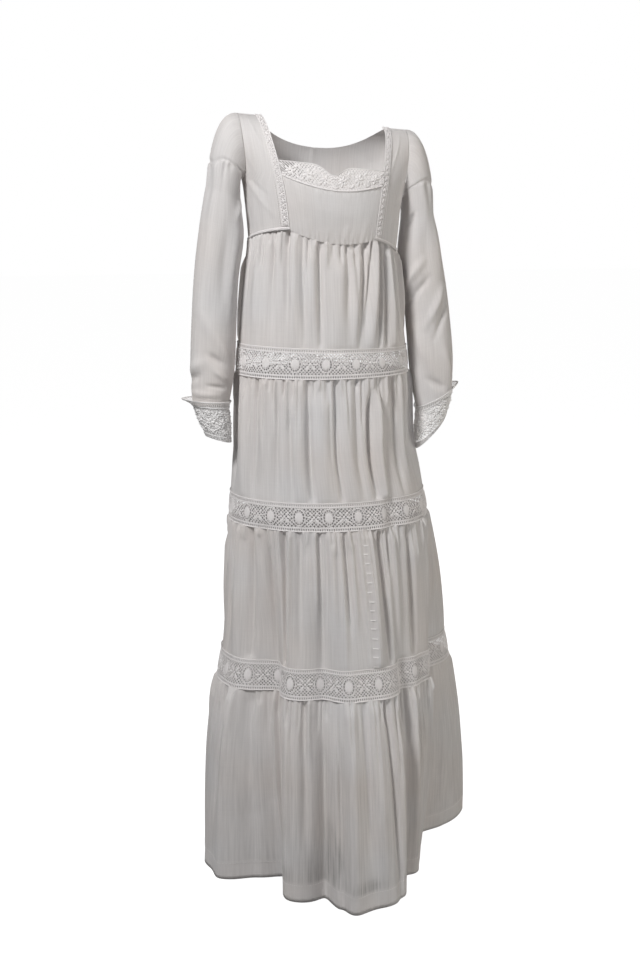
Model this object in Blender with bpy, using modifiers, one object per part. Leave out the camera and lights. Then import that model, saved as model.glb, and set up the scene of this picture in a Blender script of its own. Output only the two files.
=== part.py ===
# Maxi dress of white cotton voile and lace: bodice with princess seams, long gathered
# sleeves with lace cuffs, and four gathered tiers parted by lace bands. Metres, +Z up.
# The front faces -Y, the wearer's left is +X, and the origin lies midway between the
# shoulder seams. Every piece is a thin wall on one of the surfaces below.

from math import asin, cos, exp, pi, radians, sin

import bmesh
import bpy
from mathutils import Vector

# Cloth and seams
VOILE = 0.0014
LACE = 0.0016
TRIM = 0.0022
HEM_CLOTH = 0.0024
SEAM_GAP = 0.0004
GATHERED_SEAM_GAP = 0.0008
LAY_GAP = 0.0003

# Driving sizes
DRESS_LENGTH = 1.430
BAND_TOPS = (0.405, 0.684, 0.990)
BAND_HEIGHTS = (0.055, 0.053, 0.058)
HEM_DEPTH = 0.040
ARMHOLE_DROP = 0.120
STRAP_LACE_WIDTH = 0.012
TRIM_HEIGHT = 0.005
TRIM_RISE = 0.0012
ROUNDNESS = 2.2
SKIRT_ROUNDNESS = 2.0
BACK_NECK_DEPTH = 0.045
BACK_NECK_WIDTH = 0.70
CAP_LENGTH = 0.30
CAP_PUFF_WIDTH = 0.042
CAP_PUFF_HEIGHT = 0.004
CAP_PUFF_DEPTH = 0.010
VOILE_ROUGHNESS = 0.9
LACE_ROUGHNESS = 0.8

# The seam under the bust: its drop at the princess corner, at the side and at the centre
# back, how far it dips at the centre front, and the corner's angle
EMPIRE_CORNER_DROP = 0.203
EMPIRE_SIDE_DROP = 0.231
EMPIRE_BACK_DROP = 0.228
EMPIRE_DIP = 0.015
EMPIRE_CORNER = 0.52

# The bib's lace: drop of its top, depth of the sweetheart point and its half width, drop
# of its lower edge at the sides and how far that dips, half width of the bib there
LACE_TOP_DROP = 0.0800
LACE_POINT_DEPTH = 0.0175
LACE_POINT_WIDTH = 0.020
LACE_FOOT_DROP = 0.1070
LACE_FOOT_DIP = 0.0180
BIB_HALF_WIDTH = 0.0965

# Each bodice row: drop below the shoulder, half width, depth in front, depth behind
BODICE = (
    (0.000, 0.192, 0.000, 0.000),
    (0.008, 0.190, 0.030, 0.032),
    (0.025, 0.185, 0.056, 0.060),
    (0.050, 0.175, 0.078, 0.080),
    (0.080, 0.162, 0.096, 0.092),
    (0.120, 0.149, 0.108, 0.098),
    (0.165, 0.143, 0.110, 0.094),
    (0.232, 0.137, 0.103, 0.088),
)

# Each row: drop, how far the wearer's left side is down, for each metre across
TILT = ((0.000, 0.088), (0.200, 0.118), (0.280, 0.095), (0.450, 0.000))

# Each seam row: drop, distance of the seam from the centre line
PRINCESS_SEAM = ((0.000, 0.113), (0.080, 0.0965), (0.150, 0.084), (0.232, 0.075))
ARMHOLE_SEAM = ((0.000, 0.157), (0.040, 0.154), (0.080, 0.1495), (0.105, 0.1470))

# Each skirt row: drop, half width, depth in front, depth behind, shift to the left
SKIRT = (
    (0.200, 0.137, 0.103, 0.088, 0.000),
    (0.300, 0.149, 0.113, 0.104, 0.000),
    (0.405, 0.159, 0.123, 0.119, 0.000),
    (0.500, 0.166, 0.131, 0.130, 0.000),
    (0.600, 0.171, 0.141, 0.142, 0.001),
    (0.690, 0.186, 0.150, 0.155, 0.010),
    (0.850, 0.205, 0.167, 0.180, 0.018),
    (0.990, 0.217, 0.182, 0.205, 0.021),
    (1.090, 0.232, 0.200, 0.226, 0.021),
    (1.200, 0.242, 0.220, 0.240, 0.021),
    (1.430, 0.246, 0.240, 0.252, 0.020),
)

# Each large fold: angle from the centre front, half width in degrees, depth at the hem
# (out is positive), sideways lean for each metre of depth, drop where it starts
FOLDS = (
    (-84, 10, 0.016, 0.0, 0.98),
    (-67, 8, 0.022, 0.0, 0.98),
    (-49, 10, -0.076, -0.35, 0.72),
    (-27, 7, 0.010, -0.9, 0.75),
    (-15, 5, -0.022, 0.0, 0.85),
    (-3, 8, 0.034, 0.0, 0.78),
    (12, 9, 0.028, 0.2, 0.74),
    (31, 6, -0.034, 0.3, 0.56),
    (45, 9, -0.036, 0.0, 0.80),
    (56, 8, -0.030, 0.0, 1.00),
    (72, 14, -0.084, 0.1, 0.72),
    (110, 17, 0.062, -0.2, 0.62),
    (140, 8, -0.032, 0.0, 0.68),
    (157, 8, 0.022, 0.4, 0.60),
    (175, 8, -0.030, 0.0, 0.74),
    (194, 9, 0.030, -0.5, 0.64),
    (213, 8, -0.026, 0.0, 0.70),
    (231, 9, 0.026, 0.5, 0.60),
    (250, 8, -0.022, 0.0, 0.80),
)

# Each row: angle from the centre back, in degrees, how far the hem hangs below its level
HEM_LEVEL = (
    (0, -0.006),
    (90, -0.004),
    (130, -0.008),
    (152, -0.002),
    (178, 0.008),
    (205, -0.006),
    (232, -0.022),
    (256, -0.034),
    (295, -0.028),
    (330, -0.014),
    (360, -0.006),
)

# Each sleeve row: drop, centre across, centre in depth, half width, half depth
SLEEVE = (
    (0.150, 0.1835, 0.002, 0.0305, 0.0470),
    (0.215, 0.1870, 0.002, 0.0395, 0.0480),
    (0.290, 0.1985, -0.001, 0.0400, 0.0460),
    (0.360, 0.2045, -0.006, 0.0410, 0.0450),
    (0.450, 0.2105, -0.013, 0.0405, 0.0430),
    (0.515, 0.2155, -0.018, 0.0335, 0.0385),
)
CAP_SLANT = 0.010

# Each cuff row: way down the cuff, drop, slant, centre across, half width, half depth
CUFFS = {
    "left": (
        (0.00, 0.5060, 0.023, 0.2180, 0.0400, 0.0430),
        (0.15, 0.5160, 0.023, 0.2155, 0.0339, 0.0389),
        (0.55, 0.5460, 0.028, 0.2120, 0.0320, 0.0360),
        (1.00, 0.5770, 0.034, 0.2080, 0.0285, 0.0310),
    ),
    "right": (
        (0.00, 0.5040, 0.003, 0.2215, 0.0435, 0.0430),
        (0.15, 0.5160, 0.003, 0.2155, 0.0339, 0.0389),
        (0.55, 0.5480, 0.005, 0.2085, 0.0285, 0.0340),
        (1.00, 0.5790, 0.007, 0.2015, 0.0225, 0.0290),
    ),
}
CUFF_DEPTH_CENTRE = -0.018
CUFF_JOINT = 0.15
CUFF_TIP = 0.004

# Each tier: name, number of gathers, height of a gather, distances of its rows from the top
TIERS = (
    ("tier_1", 32, 0.0030, (0.0, 0.018, 0.050, 0.100, 1.0)),
    ("tier_2", 28, 0.0032, (0.0, 0.020, 0.055, 0.120, 1.0)),
    ("tier_3", 32, 0.0036, (0.0, 0.022, 0.065, 0.140, 1.0)),
    ("tier_4", 36, 0.0040, (0.0, 0.025, 0.080, 0.180, 0.270, 1.0)),
)
BAND_COLUMNS = (72, 84, 96)

VOILE_WHITE = (0.80, 0.79, 0.77, 1.0)
LACE_WHITE = (0.88, 0.87, 0.85, 1.0)
NAMES = {1: "left", -1: "right"}

# Interpolation in the tables above


def mix(a, b, t):
    return a + (b - a) * t


def at(table, key, column):
    """The value of a column at key, on a smooth curve through the table's rows."""
    if key <= table[0][0]:
        return table[0][column]
    if key >= table[-1][0]:
        return table[-1][column]
    i = max(n for n, row in enumerate(table) if row[0] <= key)
    low, high = table[i], table[i + 1]
    span = high[0] - low[0]
    t = (key - low[0]) / span
    slopes = []
    for n in (i, i + 1):
        before, after = table[max(n - 1, 0)], table[min(n + 1, len(table) - 1)]
        slopes.append((after[column] - before[column]) / (after[0] - before[0]))
    return (
        (2 * t**3 - 3 * t**2 + 1) * low[column]
        + (t**3 - 2 * t**2 + t) * slopes[0] * span
        + (3 * t**2 - 2 * t**3) * high[column]
        + (t**3 - t**2) * slopes[1] * span
    )


def ease(value, start, end):
    """A soft step from 0 at start to 1 at end."""
    t = min(max((value - start) / (end - start), 0.0), 1.0)
    return t * t * (3 - 2 * t)


def hang(x, y, drop):
    """A point at its drop below the shoulder, with the shoulders' slight tilt."""
    return Vector((x, y, -drop - at(TILT, drop, 1) * x))


# Bodice surface


def round_point(angle, width, front, back, power=ROUNDNESS):
    """A point of a rounded section, at an angle from the centre front."""
    s, c = sin(angle), cos(angle)
    x = width * (1 if s >= 0 else -1) * abs(s) ** (2 / power)
    depth = front if c >= 0 else -back
    return x, -depth * abs(c) ** (2 / power)


def angle_at(x, width):
    """The angle at which a rounded section reaches x."""
    return asin(min(x / width, 1.0) ** (ROUNDNESS / 2))


def bodice_point(side, angle, drop, behind=False):
    """side 1 is the wearer's left; the angle runs from the centre front or back."""
    width, front, back = (at(BODICE, drop, column) for column in (1, 2, 3))
    x, y = round_point(angle, width, back if behind else front, back)
    y -= SEAM_GAP / 2
    return hang(side * x, -y if behind else y, drop)


def princess_angle(drop, offset=0.0):
    return angle_at(at(PRINCESS_SEAM, drop, 1) + offset, at(BODICE, drop, 1))


def outer_angle(drop):
    """The angle of the armhole edge, or of the side seam below the armhole."""
    if drop >= ARMHOLE_DROP:
        return pi / 2
    last = ARMHOLE_SEAM[-1]
    width = at(BODICE, drop, 1)
    edge = angle_at(at(ARMHOLE_SEAM, min(drop, last[0]), 1), width)
    way = (drop - last[0]) / (ARMHOLE_DROP - last[0])
    return edge if way <= 0 else edge + (pi / 2 - edge) * (1 - (1 - way) ** 0.5)


def empire_drop(angle):
    """The seam under the bust: low at the centre front, high at the princess seams."""
    turn = abs((angle + pi) % (2 * pi) - pi)
    if turn < EMPIRE_CORNER:
        return EMPIRE_CORNER_DROP + EMPIRE_DIP * (1 - (turn / EMPIRE_CORNER) ** 2)
    if turn < pi / 2:
        way = (turn - EMPIRE_CORNER) / (pi / 2 - EMPIRE_CORNER)
        return mix(EMPIRE_CORNER_DROP, EMPIRE_SIDE_DROP, way**1.2)
    return mix(EMPIRE_SIDE_DROP, EMPIRE_BACK_DROP, ease(turn, pi / 2, pi))


# Skirt surface


def hem_drop(angle):
    return DRESS_LENGTH + at(HEM_LEVEL, (angle * 180 / pi + 180) % 360, 1)


def skirt_point(angle, drop, out=0.0):
    """A point of the skirt, with the large folds, moved out by a gather."""
    width, front, back, shift = (at(SKIRT, drop, column) for column in (1, 2, 3, 4))
    power = mix(ROUNDNESS, SKIRT_ROUNDNESS, ease(drop, BODICE[-1][0], BAND_TOPS[0]))
    x, y = round_point(angle, width, front, back, power)
    degrees = (angle * 180 / pi + 90) % 360 - 90
    bulge, lean = out, 0.0
    for fold_angle, half_width, fold_depth, fold_lean, start in FOLDS:
        away = (degrees - fold_angle + 180) % 360 - 180
        growth = max(drop - start, 0) / (DRESS_LENGTH - start)
        size = fold_depth * growth**0.8 * exp(-((away / half_width) ** 2))
        bulge += size
        lean += size * fold_lean
    s, c = sin(angle), cos(angle)
    move = Vector((s, -c, 0)) * bulge + Vector((c, s, 0)) * lean
    return hang(x + shift + move.x, y + move.y, drop)


def gather_wave(u, count, fall, height):
    """How far a gather stands out at a distance below its seam."""
    wave = -cos(2 * pi * count * u)
    size = 0.8 + 0.2 * sin(2 * pi * 7 * u + 1.3)
    length = 0.055 + 0.018 * sin(2 * pi * 5 * u)
    loose = ease(fall, 0.0, 0.02)
    stand = 0.7 * loose + wave * size * (0.45 + 0.55 * loose)
    return height * stand * exp(-((fall / length) ** 2) / 2)


def uneven(u, count):
    """Turns even columns into gathers of uneven width."""
    sway = 0.3 * sin(2 * pi * 5 * u + 0.7) + 0.2 * sin(2 * pi * 9 * u)
    return 2 * pi * (u + sway / count)


# Sleeve and cuff surfaces


def ring_point(side, turn, drop, slant, across, depth, half_width, half_depth):
    """turn 0 is the outer side of the arm, 0.25 its front and 0.5 its inner side."""
    x = across + half_width * cos(2 * pi * turn)
    y = depth - half_depth * sin(2 * pi * turn)
    return hang(side * x, y, drop - slant * cos(2 * pi * turn))


def armhole_point(side, turn):
    """The armhole edge, just outside the bodice."""
    drop = ARMHOLE_DROP * sin(pi * turn) ** 2
    point = bodice_point(side, outer_angle(drop), drop, behind=turn > 0.5)
    inner = sin(pi * turn) ** 2
    point.x += side * (SEAM_GAP + VOILE * inner)
    point.z += SEAM_GAP * inner
    return point


def sleeve_point(side, turn, way):
    """The sleeve, from the armhole at way 0 over the gathered cap to the cuff at 1."""
    below = max(way - CAP_LENGTH, 0) / (1 - CAP_LENGTH)
    drop = mix(SLEEVE[0][0], SLEEVE[-1][0], below)
    slant = mix(CAP_SLANT, CUFFS[NAMES[side]][1][2], below)
    sizes = (at(SLEEVE, drop, column) for column in (1, 2, 3, 4))
    low = ring_point(side, turn, drop, slant, *sizes)
    if way >= CAP_LENGTH:
        return low
    high = armhole_point(side, turn)
    outer = 1 - sin(pi * turn) ** 2
    knee = high + Vector((
        side * (CAP_PUFF_HEIGHT + CAP_PUFF_WIDTH * outer),
        -CAP_PUFF_DEPTH * sin(2 * pi * turn),
        CAP_PUFF_HEIGHT * outer,
    ))
    t = way / CAP_LENGTH
    return high * (1 - t) ** 2 + knee * 2 * t * (1 - t) + low * t * t


def cuff_point(side, turn, way):
    """The cuff, from its turned-out upper edge with the pointed tip down to the wrist."""
    rows = CUFFS[NAMES[side]]
    drop, slant, across, half_width, half_depth = (at(rows, way, c) for c in range(1, 6))
    point = ring_point(
        side, turn, drop, slant, across, CUFF_DEPTH_CENTRE, half_width, half_depth
    )
    tip = max(cos(2 * pi * turn), 0) ** 12 * max(1 - way / CUFF_JOINT, 0)
    point.x += side * CUFF_TIP * tip
    return point


# Making a wall on a surface


def material(name, colour, roughness):
    made = bpy.data.materials.new(name)
    made.use_nodes = True
    shader = made.node_tree.nodes["Principled BSDF"]
    shader.inputs["Base Color"].default_value = colour
    shader.inputs["Roughness"].default_value = roughness
    shader.inputs["Metallic"].default_value = 0.0
    return made


def lifted(surface, distance):
    """The same surface, moved out along its normals."""

    def moved(u, v):
        step = 0.002
        u0, v0 = min(max(u, step), 1 - step), min(max(v, step), 1 - step)
        across = surface(u0 + step, v0) - surface(u0 - step, v0)
        up = surface(u0, v0 + step) - surface(u0, v0 - step)
        return surface(u, v) + across.cross(up).normalized() * distance

    return moved


def cloth(name, surface, columns, rows, thickness, colour, closed=False, flip=False,
          inside=False, rows_thick=0):
    """A wall on a surface of u across and v up; rows are steps, or heights of v.

    With rows_thick, only that many of the lowest rows have the full thickness."""
    heights = [n / rows for n in range(rows + 1)] if isinstance(rows, int) else rows
    bm = bmesh.new()
    bmesh.ops.create_grid(bm, x_segments=columns, y_segments=len(heights) - 1, size=0.5)
    thick = bm.verts.layers.deform.new() if rows_thick else None
    for vert in bm.verts:
        u = round((vert.co.x + 0.5) * columns) / columns
        row = round((vert.co.y + 0.5) * (len(heights) - 1))
        vert.co = surface(0.0 if closed and u == 1.0 else u, heights[row])
        if rows_thick:
            vert[thick][0] = 1.0 if row < rows_thick else 0.0
    if flip:
        bmesh.ops.reverse_faces(bm, faces=bm.faces)
    if closed:
        bmesh.ops.remove_doubles(bm, verts=bm.verts, dist=0.00001)
    for face in bm.faces:
        face.smooth = True
    mesh = bpy.data.meshes.new(name)
    bm.to_mesh(mesh)
    bm.free()
    piece = bpy.data.objects.new(name, mesh)
    roughness = VOILE_ROUGHNESS if colour == VOILE_WHITE else LACE_ROUGHNESS
    mesh.materials.append(material(name, colour, roughness))
    DRESS.objects.link(piece)
    wall = piece.modifiers.new("wall", "SOLIDIFY")
    wall.offset = -1.0 if inside else 1.0
    wall.thickness = thickness
    if rows_thick:
        wall.vertex_group = piece.vertex_groups.new(name="double cloth").name
        wall.thickness_vertex_group = VOILE / thickness
    return piece


# Bodice pieces


def neckline_drop(x):
    return LACE_TOP_DROP + LACE_POINT_DEPTH * exp(-((x / LACE_POINT_WIDTH) ** 2))


def lace_foot_drop(x):
    return LACE_FOOT_DROP + LACE_FOOT_DIP * (1 - (x / BIB_HALF_WIDTH) ** 2)


def bib_between(low, high):
    """The centre front between two edges, each a function of the distance across."""

    def surface(u, v):
        drop = mix(low(u), high(u), v)
        x = (at(PRINCESS_SEAM, drop, 1) - SEAM_GAP / 2) * (2 * u - 1)
        angle = angle_at(abs(x), at(BODICE, drop, 1))
        return bodice_point(1 if x >= 0 else -1, angle, drop)

    return surface


def bib_x(u):
    return BIB_HALF_WIDTH * (2 * u - 1)


def bib_empire(u):
    return empire_drop(EMPIRE_CORNER * (2 * u - 1))


def side_front(side, narrow=0.0, bottom_rise=0.0, top_rise=None):
    """The side front, or a strip of it: narrow is the width of one along its inner edge,
    and top_rise is the height of one along its lower edge."""

    def surface(u, v):
        across = u if side > 0 else 1 - u
        bottom_angle = EMPIRE_CORNER if narrow else mix(EMPIRE_CORNER, pi / 2, across)
        bottom = empire_drop(bottom_angle) - bottom_rise
        top = 0.0 if top_rise is None else bottom - top_rise
        drop = mix(bottom, top, v)
        inner = princess_angle(drop, SEAM_GAP / 2)
        outer = princess_angle(drop, narrow) if narrow else outer_angle(drop)
        return bodice_point(side, mix(inner, outer, across), drop)

    return surface


def back_half(side):
    """The back, from the centre back to the armhole and side seam."""

    def surface(u, v):
        across = 1 - u if side > 0 else u
        bottom = empire_drop(pi - across * pi / 2)
        top = BACK_NECK_DEPTH * max(1 - (across / BACK_NECK_WIDTH) ** 2, 0)
        drop = mix(bottom, top, v)
        inner = angle_at(SEAM_GAP / 2, at(BODICE, drop, 1))
        return bodice_point(side, mix(inner, outer_angle(drop), across), drop, behind=True)

    return surface


PANEL_ROWS = (0.0, 0.13, 0.26, 0.38, 0.47, 0.50, 0.55, 0.64, 0.76, 0.88, 0.96, 1.0)


def make_bodice():
    def lace_top(u):
        return neckline_drop(bib_x(u))

    def lace_foot(u):
        return lace_foot_drop(bib_x(u))

    def bib_top(u):
        return lace_foot(u) + SEAM_GAP

    cloth("centre_front", bib_between(bib_empire, bib_top), 8, 5, VOILE, VOILE_WHITE)
    cloth("neckline_lace", bib_between(lace_foot, lace_top), 16, 2, LACE, LACE_WHITE)
    for side, name in NAMES.items():
        cloth("side_front_" + name, side_front(side), 7, PANEL_ROWS, VOILE, VOILE_WHITE)
        cloth("back_" + name, back_half(side), 10, PANEL_ROWS, VOILE, VOILE_WHITE)
        out = VOILE + LAY_GAP
        strip = side_front(side, STRAP_LACE_WIDTH, TRIM_RISE + TRIM_HEIGHT + SEAM_GAP)
        cloth("strap_lace_" + name, lifted(strip, out), 2, PANEL_ROWS, LACE, LACE_WHITE)
        trim = side_front(side, 0.0, TRIM_RISE, TRIM_HEIGHT)
        cloth("underbust_trim_" + name, lifted(trim, out), 7, 1, TRIM, LACE_WHITE)


# Sleeves and cuffs

SLEEVE_ROWS = (0.0, 0.06, 0.13, 0.21, 0.30, 0.44, 0.58, 0.72, 0.87, 1.0)
CUFF_ROWS = (0.0, CUFF_JOINT, 0.55, 1.0)


def make_sleeves():
    for side, name in NAMES.items():
        def sleeve(u, v, side=side):
            return sleeve_point(side, u, v)

        def cuff(u, v, side=side):
            return cuff_point(side, u, v)

        cloth("sleeve_" + name, sleeve, 24, SLEEVE_ROWS, VOILE, VOILE_WHITE,
              closed=True, flip=side < 0, inside=True)
        cloth("cuff_lace_" + name, cuff, 24, CUFF_ROWS, LACE, LACE_WHITE,
              closed=True, flip=side < 0)


# Skirt tiers and lace bands


def tier_surface(top, bottom, count, height):
    """A gathered tier between two seams; v 0 is the bottom and 1 the top."""

    def surface(u, v):
        angle = uneven(u, count)
        high = top(angle)
        fall = (1 - v) * (bottom(angle) - high)
        return skirt_point(angle, high + fall, gather_wave(u, count, fall, height))

    return surface


def make_skirt():
    tops = [lambda angle: empire_drop(angle) + GATHERED_SEAM_GAP]
    tops += [
        lambda angle, foot=top + height: foot + GATHERED_SEAM_GAP
        for top, height in zip(BAND_TOPS, BAND_HEIGHTS)
    ]
    bottoms = [lambda angle, top=top: top - SEAM_GAP for top in BAND_TOPS] + [hem_drop]
    for (name, count, height, falls), top, bottom in zip(TIERS, tops, bottoms):
        length = bottom(0.0) - top(0.0)
        heights = [1 - fall / length if fall < 1 else 0.0 for fall in reversed(falls)]
        hem = name == "tier_4"
        if hem:
            heights.insert(1, HEM_DEPTH / length)
        cloth(name, tier_surface(top, bottom, count, height), 3 * count, heights,
              HEM_CLOTH if hem else VOILE, VOILE_WHITE, closed=True,
              rows_thick=2 if hem else 0)
    sizes = zip(BAND_TOPS, BAND_HEIGHTS, BAND_COLUMNS)
    for number, (top, height, columns) in enumerate(sizes, 1):
        def band(u, v, top=top, height=height):
            return skirt_point(2 * pi * u, top + height * (1 - v))

        cloth(f"lace_band_{number}", band, columns, 1, LACE, LACE_WHITE, closed=True)


for old in list(bpy.data.objects):
    bpy.data.objects.remove(old)
DRESS = bpy.data.collections.new("maxi dress")
bpy.context.scene.collection.children.link(DRESS)
make_bodice()
make_sleeves()
make_skirt()
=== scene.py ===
# Maxi dress of white cotton voile and cotton lace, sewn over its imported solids. Metres, +Z up.
# The front faces -Y, the wearer's left is +X, and drops are measured down from the shoulders.

import random
from bisect import bisect
from functools import lru_cache
from math import asin, cos, exp, hypot, pi, radians, sin

import bmesh
import bpy
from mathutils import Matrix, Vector


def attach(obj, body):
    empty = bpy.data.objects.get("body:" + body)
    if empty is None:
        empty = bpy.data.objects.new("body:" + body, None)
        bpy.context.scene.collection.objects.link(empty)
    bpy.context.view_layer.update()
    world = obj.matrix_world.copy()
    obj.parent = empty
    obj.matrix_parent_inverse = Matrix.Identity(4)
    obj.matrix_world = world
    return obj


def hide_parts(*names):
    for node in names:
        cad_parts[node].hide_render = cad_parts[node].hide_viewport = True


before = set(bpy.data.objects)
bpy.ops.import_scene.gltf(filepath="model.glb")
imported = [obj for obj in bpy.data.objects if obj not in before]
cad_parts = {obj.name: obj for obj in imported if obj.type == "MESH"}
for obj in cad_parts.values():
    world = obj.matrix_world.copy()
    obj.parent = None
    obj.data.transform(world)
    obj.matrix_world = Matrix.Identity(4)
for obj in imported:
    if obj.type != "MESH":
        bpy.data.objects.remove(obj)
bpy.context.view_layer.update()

# Studio
# A pale floor and background, and a camera at shoulder height, to the wearer's right. The
# main lamp is high on that side, so its light fades towards the hem. A weak one stands in
# front, a warm one low on the other side, and two behind.

VIEW_TURN = radians(-12)
VIEW_DISTANCE = 2.85
EYE_HEIGHT = -0.10
AIM_HEIGHT = -0.67
FOCAL_PIXELS = 1515
IMAGE_HEIGHT = 960
SHIFT_PIXELS = -2
SENSOR = 36.0
FLOOR_HEIGHT = -1.52
FLOOR_SIZE = 40.0
FLOOR_GREY = (0.30, 0.30, 0.30, 1)
FLOOR_GLOW = 0.962
WHITE_LIGHT = (1, 1, 1, 1)
WARM_LAMP = (1.0, 0.955, 0.87)
BACKGROUND = 1.0
ROOM_LIGHT = 0.10

camera_data = bpy.data.cameras.new("camera")
camera_data.sensor_width = SENSOR
camera_data.lens = SENSOR * FOCAL_PIXELS / IMAGE_HEIGHT
camera_data.shift_x = SHIFT_PIXELS / IMAGE_HEIGHT
camera = bpy.data.objects.new("camera", camera_data)
camera.location = (
    sin(VIEW_TURN) * VIEW_DISTANCE,
    -cos(VIEW_TURN) * VIEW_DISTANCE,
    EYE_HEIGHT,
)
sight = Vector((0, 0, AIM_HEIGHT)) - camera.location
camera.rotation_euler = sight.to_track_quat("-Z", "Y").to_euler()
bpy.context.scene.collection.objects.link(camera)
bpy.context.scene.camera = camera
bpy.context.scene.view_settings.view_transform = "Standard"


def soft_lamp(name, place, target, size, power, colour=(1.0, 1.0, 1.0)):
    data = bpy.data.lights.new(name, "AREA")
    data.color = colour
    data.shape = "DISK"
    data.size = size
    data.energy = power
    lamp = bpy.data.objects.new(name, data)
    lamp.location = place
    lamp.rotation_euler = (Vector(target) - lamp.location).to_track_quat("-Z", "Y").to_euler()
    bpy.context.scene.collection.objects.link(lamp)


soft_lamp("key", (-1.6, -1.7, 1.42), (0, 0, -0.25), 0.6, 70)
soft_lamp("front", (0.9, -2.5, 0.5), (0, 0, -0.3), 1.4, 8)
soft_lamp("side", (2.4, -1.1, -0.50), (0.2, 0, -0.7), 1.0, 19, WARM_LAMP)
soft_lamp("back", (1.4, 2.9, 0.9), (0, 0, -0.6), 1.6, 55)
soft_lamp("back side", (-2.4, 1.8, 0.6), (0, 0, -0.6), 1.2, 9)


def node(tree, kind, values=None, **settings):
    """A shader node; values are numbers for its inputs or the outputs that feed them."""
    made = tree.nodes.new(kind)
    for name, value in settings.items():
        setattr(made, name, value)
    for key, value in (values or {}).items():
        if isinstance(value, bpy.types.NodeSocket):
            tree.links.new(value, made.inputs[key])
        else:
            made.inputs[key].default_value = value
    return made


def number(tree, operation, first, second=0.0, third=0.0):
    made = node(tree, "ShaderNodeMath", {0: first, 1: second, 2: third}, operation=operation)
    return made.outputs[0]


world = bpy.data.worlds.new("room")
world.use_nodes = True
bpy.context.scene.world = world
world.node_tree.nodes.clear()
path = node(world.node_tree, "ShaderNodeLightPath")
lit = node(world.node_tree, "ShaderNodeBackground", {0: WHITE_LIGHT, 1: ROOM_LIGHT})
seen = node(world.node_tree, "ShaderNodeBackground", {0: WHITE_LIGHT, 1: BACKGROUND})
room = node(
    world.node_tree,
    "ShaderNodeMixShader",
    {0: path.outputs["Is Camera Ray"], 1: lit.outputs[0], 2: seen.outputs[0]},
)
node(world.node_tree, "ShaderNodeOutputWorld", {0: room.outputs[0]})

bm = bmesh.new()
bmesh.ops.create_grid(bm, x_segments=1, y_segments=1, size=FLOOR_SIZE / 2)
bmesh.ops.translate(bm, verts=bm.verts, vec=(0, 0, FLOOR_HEIGHT))
floor_mesh = bpy.data.meshes.new("floor")
bm.to_mesh(floor_mesh)
bm.free()
floor = bpy.data.objects.new("floor", floor_mesh)
bpy.context.scene.collection.objects.link(floor)
paint = bpy.data.materials.new("pale floor")
paint.use_nodes = True
tree = paint.node_tree
tree.nodes.clear()

# The floor is bright only where the camera sees it past the dress, not through thin cloth
path = node(tree, "ShaderNodeLightPath")
unveiled = number(tree, "LESS_THAN", path.outputs["Transparent Depth"], 0.5)
direct = number(tree, "MULTIPLY", path.outputs["Is Camera Ray"], unveiled)
matt = node(tree, "ShaderNodeBsdfDiffuse", {"Color": FLOOR_GREY})
bright = node(tree, "ShaderNodeEmission", {"Color": WHITE_LIGHT, "Strength": FLOOR_GLOW})
glow = node(tree, "ShaderNodeAddShader", {0: matt.outputs[0], 1: bright.outputs[0]})
both = node(
    tree, "ShaderNodeMixShader", {0: direct, 1: matt.outputs[0], 2: glow.outputs[0]}
)
node(tree, "ShaderNodeOutputMaterial", {0: both.outputs[0]})
floor_mesh.materials.append(paint)

# Bodice
# Cotton voile cut in a bib, two side fronts and two back halves, sewn together with
# princess seams. The thin cloth drags a little at the seams and puckers along the bib's foot.

ROUNDNESS = 2.2
SEAM_GAP = 0.0004
EMPIRE_CORNER_DROP = 0.203
EMPIRE_SIDE_DROP = 0.231
EMPIRE_BACK_DROP = 0.228
EMPIRE_DIP = 0.015
EMPIRE_CORNER = 0.52
ARMHOLE_DROP = 0.120
BIB_HALF_WIDTH = 0.0965
NECKLINE_DROP = 0.0800
NECKLINE_DIP = 0.0175
NECKLINE_DIP_WIDTH = 0.020
LACE_FOOT_DROP = 0.1070
LACE_FOOT_DIP = 0.0180
BACK_NECK_DEPTH = 0.045
BACK_NECK_WIDTH = 0.70

# Each bodice row: drop below the shoulder, half width, depth in front, depth behind
BODICE = (
    (0.000, 0.192, 0.000, 0.000),
    (0.008, 0.190, 0.030, 0.032),
    (0.025, 0.185, 0.056, 0.060),
    (0.050, 0.175, 0.078, 0.080),
    (0.080, 0.162, 0.096, 0.092),
    (0.120, 0.149, 0.108, 0.098),
    (0.165, 0.143, 0.110, 0.094),
    (0.232, 0.137, 0.103, 0.088),
)

# Each row: drop, how far the wearer's left side is down, for each metre across
TILT = ((0.000, 0.088), (0.200, 0.118), (0.280, 0.095), (0.450, 0.000))

# Each seam row: drop, distance of the seam from the centre line
PRINCESS_SEAM = ((0.000, 0.113), (0.080, 0.0965), (0.150, 0.084), (0.232, 0.075))
ARMHOLE_SEAM = ((0.000, 0.157), (0.040, 0.154), (0.080, 0.1495), (0.105, 0.1470))
SIDES = {"left": 1, "right": -1}


def mix(a, b, t):
    return a + (b - a) * t


def at(table, key, column):
    """The value of a column at key, on a smooth curve through the table's rows."""
    if key <= table[0][0]:
        return table[0][column]
    if key >= table[-1][0]:
        return table[-1][column]
    i = max(n for n, row in enumerate(table) if row[0] <= key)
    low, high = table[i], table[i + 1]
    span = high[0] - low[0]
    t = (key - low[0]) / span
    slopes = []
    for n in (i, i + 1):
        before, after = table[max(n - 1, 0)], table[min(n + 1, len(table) - 1)]
        slopes.append((after[column] - before[column]) / (after[0] - before[0]))
    return (
        (2 * t**3 - 3 * t**2 + 1) * low[column]
        + (t**3 - 2 * t**2 + t) * slopes[0] * span
        + (3 * t**2 - 2 * t**3) * high[column]
        + (t**3 - t**2) * slopes[1] * span
    )


def ease(value, start, end):
    """A soft step from 0 at start to 1 at end."""
    t = min(max((value - start) / (end - start), 0.0), 1.0)
    return t * t * (3 - 2 * t)


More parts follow.
